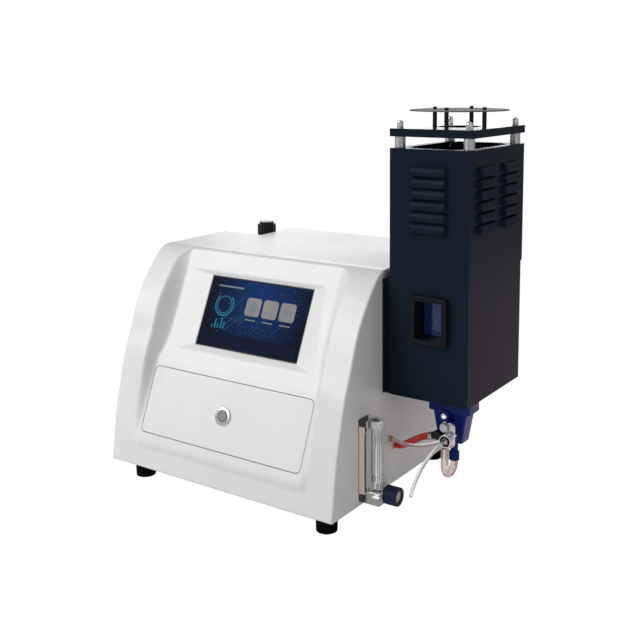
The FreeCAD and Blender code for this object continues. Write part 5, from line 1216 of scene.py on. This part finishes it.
    def fill_face(self, grid: bmesh.types.BMesh, verts: list[VertRow], columns: np.ndarray,
                  rows: np.ndarray) -> None:
        """Fills the face's grid apart from the window and the panel's place.

        Args:
            grid: The edit mesh.
            verts: Its vertices, row by row.
            columns: The places across.
            rows: Depth and height of each row.
        """
        window = self.hole_range(columns, rows, self.screen_middle[0],
                                 self.screen_size[0] * HALF + self.surround, self.window_heights())
        panel = self.panel_range(columns, rows)
        for i in range(len(rows) - 1):
            for j in range(len(columns) - 1):
                if any(a <= i < b and c <= j < d for a, b, c, d in (window, panel)):
                    continue
                grid.faces.new((verts[i][j], verts[i][j + 1], verts[i + 1][j + 1], verts[i + 1][j]))

    @staticmethod
    def hole_range(columns: np.ndarray, rows: np.ndarray, middle: float, half: float,
                   heights: tuple[float, float]) -> tuple[int, int, int, int]:
        """Gives the grid rows and columns that a hole's edges lie on.

        Args:
            columns: The places across.
            rows: Depth and height of each row.
            middle: The hole's middle across.
            half: Half its width.
            heights: Its lower and upper edge.

        Returns:
            First and last row, first and last column.
        """
        found = [int(np.argmin(np.abs(rows[:, 1] - h))) for h in heights]
        across = [int(np.argmin(np.abs(columns - x))) for x in (middle - half, middle + half)]
        return found[0], found[1], across[0], across[1]

    def slope_place(self, middle: tuple[float, float], depth: float, tilt: float) -> Matrix:
        """Gives axes on the sloping face: X across, Y up the slope, Z out of it.

        Args:
            middle: Their place across and their height over the underside.
            depth: Their depth behind the front's foot.
            tilt: The slope's lean from upright.

        Returns:
            The axes' place and turn.
        """
        spot = Vector((middle[0], self.front + depth, self.foot + middle[1]))
        up = Vector((0.0, math.sin(tilt), math.cos(tilt)))
        out = Vector((0.0, -math.cos(tilt), math.sin(tilt)))
        turn = Matrix((Vector((1.0, 0.0, 0.0)), up, out)).transposed().to_4x4()
        return Matrix.Translation(spot) @ turn

    def panel_place(self) -> Matrix:
        """Gives where the panel's own axes stand."""
        return self.slope_place(self.panel_middle, self.depth_of_pad(self.panel_middle[1]), self.pad_tilt)

    def screen_place(self) -> Matrix:
        """Gives where the screen's own axes stand, on the face of its glass."""
        depth = self.depth_of_pad(self.screen_middle[1]) + self.bevel_depth / math.cos(self.floor_tilt)
        return self.slope_place(self.screen_middle, depth, self.floor_tilt)

    def fill_panel_ring(self, grid: bmesh.types.BMesh, verts: list[VertRow], columns: np.ndarray,
                        rows: np.ndarray) -> None:
        """Fills from the grid to the panel's round-cornered place, and down to the place's floor.

        Args:
            grid: The edit mesh.
            verts: Its vertices, row by row.
            columns: The places across.
            rows: Depth and height of each row.
        """
        i0, i1, j0, j1 = self.panel_range(columns, rows)
        outer = [verts[i0][j] for j in range(j0, j1)] + [verts[i][j1] for i in range(i0, i1)]
        outer += [verts[i1][j] for j in range(j1, j0, -1)] + [verts[i][j0] for i in range(i1, i0, -1)]
        place = self.panel_place()
        outline = soft_rectangle(self.panel_size[0] + 2 * self.panel_seam,
                                 self.panel_size[1] + 2 * self.panel_seam,
                                 self.panel_corner + self.panel_seam)
        rim = ring_of(grid, [place @ Vector((x, y, 0.0)) for x, y in outline])
        low = ring_of(grid, [place @ Vector((x, y, -self.pocket_depth)) for x, y in outline])
        edges = [grid.edges.get((a, b)) or grid.edges.new((a, b))
                 for a, b in zip(outer, outer[1:] + outer[:1])]
        edges += [grid.edges.new((a, b)) for a, b in zip(rim, rim[1:] + rim[:1])]
        bmesh.ops.triangle_fill(grid, use_beauty=True, use_dissolve=False, edges=edges)
        bridge(grid, rim, low)

    def fill_sides(self, grid: bmesh.types.BMesh, verts: list[VertRow], rows: np.ndarray) -> None:
        """Rounds the long edges and closes the flat sides back to the seam.

        Args:
            grid: The edit mesh.
            verts: Its vertices, row by row.
            rows: Depth and height of each row.
        """
        slopes = np.gradient(rows, axis=0)
        slopes /= np.hypot(*slopes.T)[:, None]
        inward = np.stack([slopes[:, 1], -slopes[:, 0]], 1)
        for sign, column, plane in ((-1.0, 0, self.left), (1.0, -1, self.right)):
            strip = [[row[column] for row in verts]]
            for step in range(1, self.edge_steps + 1):
                angle = math.pi * HALF * step / self.edge_steps
                x = plane - sign * self.edge * (1.0 - math.sin(angle))
                back = self.edge * (1.0 - math.cos(angle))
                strip.append(ring_of(grid, [
                    (x, self.front + rows[i, 0] + inward[i, 0] * back, self.foot + rows[i, 1]
                     + inward[i, 1] * back) for i in range(len(rows))]))
            for first, second in zip(strip, strip[1:]):
                bridge(grid, first, second, closed=False)
            border = strip[-1]
            drop = self.foot + self.height - self.lip_drop
            top = border[-1].co.z
            corners = ring_of(grid, [(plane, self.front + self.seam + self.lip, top),
                                     (plane, self.front + self.seam + self.lip, drop),
                                     (plane, self.front + self.seam, drop),
                                     (plane, self.front + self.seam, self.foot),
                                     (plane, border[0].co.y, self.foot)])
            grid.faces.new([*border, *corners])

    def fill_lip(self, grid: bmesh.types.BMesh, rows: np.ndarray) -> None:
        """Carries the top edge, with its round ends, back to the seam.

        Args:
            grid: The edit mesh.
            rows: Depth and height of each row.
        """
        last = [v for v in grid.verts if abs(v.co.y - (self.front + rows[-1, 0])) < NEAR_DISTANCE
                and v.co.z > self.foot + self.height - self.edge - NEAR_DISTANCE]
        last.sort(key=lambda v: (v.co.x, v.co.z if v.co.x < 0.0 else -v.co.z))
        back = ring_of(grid, [(v.co.x, self.front + self.seam + self.lip, v.co.z) for v in last])
        bridge(grid, last, back, closed=False)


def fill_between(marks: Sequence[float], step: float) -> np.ndarray:
    """Fills the stretches between marks with even places.

    Args:
        marks: The places that are kept, in order.
        step: The most between two places.

    Returns:
        All the places.
    """
    places = []
    for low, high in zip(marks, marks[1:]):
        if high - low < MERGE_DISTANCE:
            continue
        count = max(int(math.ceil((high - low) / step)), 1)
        places.extend(np.linspace(low, high, count, endpoint=False))
    return np.array([*places, marks[-1]])


def softened_table(table: np.ndarray, columns: np.ndarray, rows: np.ndarray, spread: float) -> np.ndarray:
    """Smooths a table of depths by a bell curve, first across and then up.

    Args:
        table: The depths.
        columns: The places across.
        rows: Depth and height of each row.
        spread: The bell curve's width.

    Returns:
        The smoothed table.
    """
    lengths = np.concatenate([[0.0], np.cumsum(np.hypot(*np.diff(rows, axis=0).T))])
    across = np.exp(-HALF * ((columns[:, None] - columns[None, :]) / spread) ** 2)
    across *= np.gradient(columns)[None, :]
    across /= across.sum(1, keepdims=True)
    along = np.exp(-HALF * ((lengths[:, None] - lengths[None, :]) / spread) ** 2)
    along *= np.gradient(lengths)[None, :]
    along /= along.sum(1, keepdims=True)
    return along @ table @ across.T


@dataclass
class Screen:
    """The lit screen under its glass, with a plain instrument display of the maker's own layout."""

    place: Matrix
    width: float = 0.154
    height: float = 0.0868
    border: float = 0.0011
    lift: float = 0.00012
    layer: float = 0.00003
    corner: float = 0.0006
    tile: float = 0.0225
    tile_corner: float = 0.004
    glow_centre: tuple[float, float] = (0.004, 0.022)
    glow_reach: float = 0.078
    glow_colour: Colour = (0.002, 0.030, 0.130)
    deep_colour: Colour = (0.0010, 0.0020, 0.0095)
    speck_count: int = 70
    speck_sizes: tuple[float, float] = (0.00022, 0.0007)
    streak_count: int = 13
    seed: int = 7
    black: Colour = (0.001, 0.0015, 0.003)
    tile_places: tuple[tuple[float, float], ...] = ((-0.004, 0.012), (0.022, 0.012), (0.048, 0.012))
    line_shares: tuple[float, float] = (0.72, 0.72)
    band_shares: tuple[float, float, float] = (0.94, 0.17, 0.76)
    gauge_place: tuple[float, float] = (-0.04851, 0.010)
    gauge_radius_shares: tuple[float, ...] = (0.66, 0.56, 0.50, 0.44)
    gauge_sweep_share: float = 0.76
    ring_steps: int = 72
    bar_count: int = 5

    def build(self) -> None:
        """Builds the glass, the lit ground and the shapes on it."""
        kept("display_module", Palette.BLACK)
        outline = soft_rectangle(self.width + self.border, self.height + self.border, self.corner)
        glass = flat_plate("screen_border", Palette.WINDOW, outline, 0.0, self.layer, self.place)
        rides(glass, ROOT_BODY)
        ground = self.ground()
        rides(ground, ROOT_BODY)
        self.shapes()

    def ground(self) -> bpy.types.Object:
        """Lays the lit ground, deep navy with a blue glow over its middle.

        Returns:
            The ground's piece.
        """
        outline = soft_rectangle(self.width - self.border, self.height - self.border, self.corner)
        board = NodeBoard("screen_ground")
        where = board.add("ShaderNodeTexCoord").outputs["Object"]
        centre = self.place @ Vector((*self.glow_centre, 0.0))
        glow = board.add("ShaderNodeMapRange", Value=board.distance(where, centre), From_Min=0.0,
                         From_Max=self.glow_reach)
        deep = board.blend(glow.outputs["Result"], self.glow_colour, self.deep_colour)
        shader = board.add("ShaderNodeBsdfPrincipled", Base_Color=self.black, Roughness=Lit.roughness,
                           Emission_Color=deep, Emission_Strength=1.0, Specular_IOR_Level=Lit.shine)
        ground = flat_plate("screen_ground", Palette.WINDOW, outline, self.layer, self.lift, self.place)
        ground.data.materials[0] = board.finish(shader)
        return ground

    def shape(self, name: str, finish: Finish, outline: Outline, level: int) -> None:
        """Lays one flat glowing shape on the ground.

        Args:
            name: The shape's name.
            finish: Its finish.
            outline: Its outline.
            level: How many layers it lies over the ground.
        """
        low = self.lift + self.layer * (level - 1)
        piece = flat_plate(name, finish, outline, low, low + self.layer, self.place)
        rides(piece, ROOT_BODY)

    def shapes(self) -> None:
        """Lays the tiles with their marks, the ring gauge, the bars, the specks and the rays."""
        grey = Lit("screen_tile", (0.27, 0.26, 0.26))
        pale = Lit("screen_pale", (0.20, 0.23, 0.27))
        cyan = Lit("screen_cyan", (0.012, 0.16, 0.25))
        faint = Lit("screen_faint", (0.03, 0.14, 0.30))
        dark = Lit("screen_dark", (0.0015, 0.005, 0.022))
        left, top = -self.width * HALF, self.height * HALF
        wide, high, drop = self.band_shares
        self.shape("screen_foot_band", dark, soft_rectangle(
            self.width * wide, self.height * high, self.corner * 3, centre=(0.0, -top * drop)), 1)
        long, low = (self.tile * share for share in self.line_shares)
        for index, (x, y) in enumerate(self.tile_places):
            self.shape(f"screen_tile_{index}", grey, soft_rectangle(
                self.tile, self.tile, self.tile_corner, centre=(x, y)), 2)
            self.shape(f"screen_line_{index}", pale, soft_rectangle(
                long, self.corner * 2.4, self.corner, centre=(x, y - low)), 2)
        for mark, place in zip((self.drop_mark, self.wave_mark, self.bar_mark), self.tile_places):
            mark(pale, place)
        radii = [self.tile * share for share in self.gauge_radius_shares]
        self.ring("screen_gauge", cyan, self.gauge_place, radii[0], radii[1], self.gauge_sweep_share)
        self.ring("screen_gauge_inner", faint, self.gauge_place, radii[2], radii[3], 1.0)
        for index in range(self.bar_count):
            height = self.tile * (0.16 + 0.11 * ((index * 3) % self.bar_count))
            self.shape(f"screen_bar_{index}", cyan, soft_rectangle(
                self.corner * 4, height, self.corner, centre=(left * 0.78 + index * self.corner * 7.5,
                                                              -top * 0.46 + height * HALF)), 2)
        self.shape("screen_heading", pale, soft_rectangle(
            self.width * 0.26, self.corner * 3.2, self.corner, centre=(left * 0.58, top * 0.76)), 2)
        self.specks(cyan, pale)
        self.streaks(faint)

    def ring(self, name: str, finish: Finish, centre: tuple[float, float], outer: float, inner: float,
             share: float) -> None:
        """Lays a ring, or part of one.

        Args:
            name: Its name.
            finish: Its finish.
            centre: Its middle.
            outer: Its outer radius.
            inner: Its inner radius.
            share: The share of the circle that it fills.
        """
        steps = self.ring_steps
        sweep = 2.0 * math.pi * share * (0.999 if share == 1.0 else 1.0)
        start = math.pi * (1.5 - share)
        arc = [start + sweep * i / steps for i in range(steps + 1)]
        outline = [(centre[0] + outer * math.cos(a), centre[1] + outer * math.sin(a)) for a in arc]
        outline += [(centre[0] + inner * math.cos(a), centre[1] + inner * math.sin(a)) for a in reversed(arc)]
        self.shape(name, finish, outline, 2)

    def drop_mark(self, finish: Finish, centre: tuple[float, float]) -> None:
        """Lays a small drop, the sign for a sample.

        Args:
            finish: Its finish.
            centre: The middle of its tile.
        """
        outline = []
        reach = self.tile * 0.24
        steps = 36
        for i in range(steps):
            angle = 2.0 * math.pi * i / steps
            rise = math.sin(angle)
            narrowing = 1.0 - 0.45 * max(rise, 0.0) ** 2
            stretch = 1.35 if rise > 0 else 1.0
            outline.append((centre[0] + reach * math.cos(angle) * narrowing,
                            centre[1] - reach * 0.25 + reach * rise * stretch))
        self.shape("screen_drop", finish, outline, 3)

    def wave_mark(self, finish: Finish, centre: tuple[float, float]) -> None:
        """Lays a small curve with one peak.

        Args:
            finish: Its finish.
            centre: The middle of its tile.
        """
        reach = self.tile * 0.36
        thick = self.corner * 1.6
        steps = 24
        xs = [reach * (2.0 * i / steps - 1.0) for i in range(steps + 1)]
        ys = [reach * (1.1 * math.exp(-((x / reach) / 0.32) ** 2) - 0.45) for x in xs]
        outline = [(centre[0] + x, centre[1] + y) for x, y in zip(xs, ys)]
        outline += [(x, y - thick) for x, y in reversed(outline)]
        self.shape("screen_curve", finish, outline, 3)

    def bar_mark(self, finish: Finish, centre: tuple[float, float]) -> None:
        """Lays three small bars.

        Args:
            finish: Their finish.
            centre: The middle of their tile.
        """
        for index, rise in enumerate((0.30, 0.52, 0.40)):
            height = self.tile * rise
            self.shape(f"screen_small_bar_{index}", finish, soft_rectangle(
                self.tile * 0.11, height, self.corner * HALF,
                centre=(centre[0] + (index - 1) * self.tile * 0.2,
                        centre[1] - self.tile * 0.26 + height * HALF)), 3)

    def specks(self, first: Finish, second: Finish) -> None:
        """Scatters small glowing specks over the ground in two meshes.

        Args:
            first: The finish of most of them.
            second: The finish of the rest.
        """
        chance = np.random.default_rng(self.seed)
        for name, finish, number in (("screen_specks_blue", first, self.speck_count),
                                     ("screen_specks_pale", second, self.speck_count // 3)):
            grid = bmesh.new()
            level = self.lift + self.layer * HALF
            for _ in range(number):
                x = chance.uniform(-0.48, 0.48) * self.width
                y = chance.uniform(-0.30, 0.48) * self.height
                size = chance.uniform(*self.speck_sizes)
                corners = [(x + size * math.cos(math.pi * i / 3), y + size * math.sin(math.pi * i / 3))
                           for i in range(6)]
                grid.faces.new(ring_of(grid, [self.place @ Vector((a, b, level)) for a, b in corners]))
            rides(mesh_object(name, grid, finish), ROOT_BODY)

    def streaks(self, finish: Finish) -> None:
        """Draws thin diagonal rays across the ground in one mesh.

        Args:
            finish: Their finish.
        """
        chance = np.random.default_rng(self.seed + 1)
        level = self.lift + self.layer * HALF
        grid = bmesh.new()
        for _ in range(self.streak_count):
            x = chance.uniform(-0.44, 0.26) * self.width
            y = chance.uniform(-0.28, 0.10) * self.height
            run = chance.uniform(0.06, 0.17) * self.width
            lean = chance.uniform(0.9, 1.2)
            thick = chance.uniform(0.6, 1.1) * self.corner
            corners = ((x, y), (x + run, y + run * lean), (x + run, y + run * lean + thick), (x, y + thick))
            grid.faces.new(ring_of(grid, [self.place @ Vector((a, b, level)) for a, b in corners]))
        rides(mesh_object("screen_rays", grid, finish), ROOT_BODY)


@dataclass
class Case:
    """The case round the shell: cover, base, feet, panel and the button with its ring."""

    shell: FrontShell = field(default_factory=FrontShell)
    sheet_edge: float = 0.0005
    panel_edge: float = 0.0004
    foot_edge: float = 0.0012
    screw_edge: float = 0.0003

    def build(self) -> None:
        """Builds and dresses every piece of the case."""
        self.shell.build()
        Screen(self.shell.screen_place()).build()
        softened("rear_cover", Palette.COVER, self.sheet_edge)
        softened("rear_panel", Palette.REAR, self.sheet_edge)
        softened("base_plate", Palette.BASE, self.sheet_edge, 2)
        softened("rubber_feet", Palette.RUBBER, self.foot_edge)
        softened("panel_screws", Palette.ZINC, self.screw_edge, 2)
        softened("lower_panel", Palette.PANEL, self.panel_edge)
        softened("ignition_bezel", Palette.CHROME, self.panel_edge)
        softened("ignition_button", Palette.BUTTON, self.panel_edge)
        for node, finish in (("power_supply", Palette.ZINC), ("main_board", Palette.GREEN),
                             ("gas_valve", Palette.BRASS), ("igniter_module", Palette.BLACK),
                             ("detector_housing", Palette.BLACK)):
            kept(node, finish)


@dataclass
class Tower:
    """The burner tower: bracket, housings, window, burner, tray and deflector."""

    sheet_edge: float = 0.0007
    small_edge: float = 0.0003

    def build(self) -> None:
        """Builds and dresses every piece of the tower."""
        for node in ("burner_bracket", "lower_housing", "upper_housing"):
            softened(node, Palette.TOWER, self.sheet_edge)
        softened("window_frame", Palette.WINDOW, self.sheet_edge)
        softened("window_glass", Palette.BLUE_GLASS, self.small_edge, 2)
        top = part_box("top_tray")[1].z - self.sheet_edge * HALF
        painted(softened("top_tray", Palette.TOWER, self.sheet_edge), Palette.TRAY_TOP,
                lambda spot: spot.z > top)
        softened("tray_standoffs", Palette.ALUMINIUM, self.small_edge)
        softened("acorn_nuts", Palette.CHROME, self.small_edge)
        softened("deflector_posts", Palette.BLACK, self.small_edge)
        softened("deflector_disc", Palette.DISC, self.small_edge)
        softened("burner_head", Palette.STEEL, self.small_edge)
        softened("flame_shield", Palette.GLASS, self.small_edge, 2)
        softened("igniter_electrode", Palette.STEEL, self.small_edge, 2)
        softened("lens_tube", Palette.ALUMINIUM, self.small_edge, 2)
        kept("lens_and_filter", Palette.GLASS)


@dataclass
class SamplePath:
    """The chamber under the tower with the nebulizer, its clamp, the drain and the gas fitting."""

    cast_edge: float = 0.0009
    small_edge: float = 0.0003
    nebulizer_axis: tuple[float, float] = (0.19105, 0.1015)
    shaded_groove_front: float = -0.0520
    shaded_groove_radii: tuple[float, float] = (0.0035, 0.0062)

    def in_shaded_groove(self, spot: Vector) -> bool:
        """Says whether a place lies in the groove of the nebulizer's ring, where black stands in as painted
        shade.
        """
        reach = math.hypot(spot.x - self.nebulizer_axis[0], spot.z - self.nebulizer_axis[1])
        return self.shaded_groove_radii[0] < reach < self.shaded_groove_radii[1] and spot.y > self.shaded_groove_front

    def build(self) -> None:
        """Builds and dresses every piece of the sample path."""
        softened("mixing_chamber", Palette.BLUE, self.cast_edge)
        softened("chamber_screws", Palette.CHROME, self.small_edge, 2)
        softened("drain_nut", Palette.BLUE, self.small_edge)
        # Black over the groove's walls and floor is painted shade in that recess, not a separate black part.
        painted(softened("nebulizer", Palette.CHROME, self.small_edge, 2), Palette.BLACK, self.in_shaded_groove)
        softened("clamp_plate", Palette.CLAMP, self.small_edge)
        softened("clamp_screw", Palette.CLAMP, self.small_edge, 2)
        softened("gas_fitting", Palette.BLACK, self.small_edge)
        softened("gas_ferrule", Palette.CHROME, self.small_edge)


@dataclass
class FlowMeter:
    """The clear flow meter with its float, scale, inserts and needle valve."""

    block_edge: float = 0.0005
    small_edge: float = 0.0003
    tick_count: int = 31
    long_every: int = 5
    tick_length: float = 0.0032
    tick_thick: float = 0.00035
    tick_lift: float = 0.00006
    mark_shares: tuple[float, float] = (0.27, 0.76)
    cap_radius: float = 0.0062
    cap_span: tuple[float, float] = (0.0008, 0.0024)
    scale_span: tuple[float, float] = (0.054, 0.098)

    def build(self) -> None:
        """Builds and dresses every piece of the flow meter."""
        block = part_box("flow_meter_block")
        softened("flow_meter_block", Palette.ACRYLIC, self.block_edge)
        inner = block[0][0] + (block[1][0] - block[0][0]) * HALF * HALF
        painted(softened("flow_meter_inserts", Palette.STEEL, self.small_edge), Palette.BRASS,
                lambda spot: spot.x < inner)
        softened("flow_float", Palette.STEEL, self.small_edge, 2)
        softened("valve_stem", Palette.STEEL, self.small_edge, 2)
        self.build_knob()
        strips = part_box("scale_strips")
        middle_x = (strips[0][0] + strips[1][0]) * HALF
        painted(softened("scale_strips", Palette.SALMON, self.small_edge * HALF, 2), Palette.PAPER,
                lambda spot: spot.x > middle_x)
        self.draw_scale(block, strips)

    def build_knob(self) -> None:
        """Dresses the knob and gives the cap in its face a brushed finish."""
        low, high = (Vector(corner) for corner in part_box("flow_knob"))
        centre = (low + high) * HALF

        def on_cap(spot: Vector) -> bool:
            """Says whether a place lies on the knob's cap."""
            reach = math.hypot(spot.y - centre.y, spot.z - centre.z)
            return self.cap_span[0] < high.x - spot.x < self.cap_span[1] and reach < self.cap_radius

        painted(softened("flow_knob", Palette.NAVY, self.small_edge, 2), Palette.CAP, on_cap)

    def draw_scale(self, block: Sequence[Sequence[float]], strips: Sequence[Sequence[float]]) -> None:
        """Draws the ruled scale on the right face and the white marks on the front strip.

        Args:
            block: The corners of the clear block's box.
            strips: The corners of the strips' box.
        """
        scale_low, scale_high = self.scale_span
        middle_y = (block[0][1] + block[1][1]) * HALF
        face = Matrix.Translation((strips[1][0], middle_y, 0.0)) @ frame_of((1.0, 0.0, 0.0))
        for i in range(self.tick_count):
            height = scale_low + (scale_high - scale_low) * i / (self.tick_count - 1)
            length = self.tick_length * (2.0 if i % self.long_every == 0 else 1.0)
            outline = soft_rectangle(length, self.tick_thick, self.tick_thick * HALF * HALF, 2,
                                     centre=(length * HALF - self.tick_length, height))
            rides(flat_plate(f"scale_tick_{i}", Palette.INK, outline, -self.tick_lift * HALF, self.tick_lift,
                             face), ROOT_BODY)
        front = Matrix.Translation((block[0][0], strips[0][1], 0.0)) @ frame_of((0.0, -1.0, 0.0))
        for i, share in enumerate(self.mark_shares):
            height = strips[0][2] + (strips[1][2] - strips[0][2]) * share
            outline = soft_rectangle(self.tick_length * 3, self.tick_thick * 2, self.tick_thick * HALF, 2,
                                     centre=(self.tick_length * 1.5, height))
            rides(flat_plate(f"strip_mark_{i}", Palette.PAPER, outline, -self.tick_lift, self.tick_lift,
                             front), ROOT_BODY)


@dataclass
class Regulator:
    """The air filter and regulator in the rear corner."""

    cast_edge: float = 0.0010
    small_edge: float = 0.0004

    def build(self) -> None:
        """Builds and dresses every piece of the regulator."""
        softened("regulator_body", Palette.CAST, self.cast_edge)
        softened("regulator_knob", Palette.BLACK, self.small_edge)
        softened("regulator_bracket", Palette.ZINC, self.small_edge)
        softened("filter_bowl", Palette.BOWL, self.small_edge)
        softened("bowl_drain", Palette.BRASS, self.small_edge)
        softened("pressure_gauge", Palette.DIAL, self.small_edge)
        softened("gauge_needle", Palette.NEEDLE, self.small_edge, 2)


@dataclass
class RearSockets:
    """The power entry, the data socket and the hose fittings."""

    moulded_edge: float = 0.0005
    small_edge: float = 0.0003

    def build(self) -> None:
        """Builds and dresses the sockets and fittings."""
        softened("power_inlet", Palette.BLACK, self.moulded_edge)
        softened("power_rocker", Palette.BLACK, self.moulded_edge)
        softened("fuse_drawer", Palette.BLACK, self.small_edge)
        softened("serial_port", Palette.ZINC, self.small_edge)
        softened("hose_fittings", Palette.BRASS, self.small_edge)


def main() -> None:
    """Builds the stage and the instrument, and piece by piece."""
    logging.basicConfig(level=logging.INFO, format="%(message)s")
    Studio().build()
    Tubing().build()
    for assembly in (Case(), Tower(), SamplePath(), FlowMeter(), Regulator(), RearSockets()):
        assembly.build()


if __name__ == "__main__":
    main()
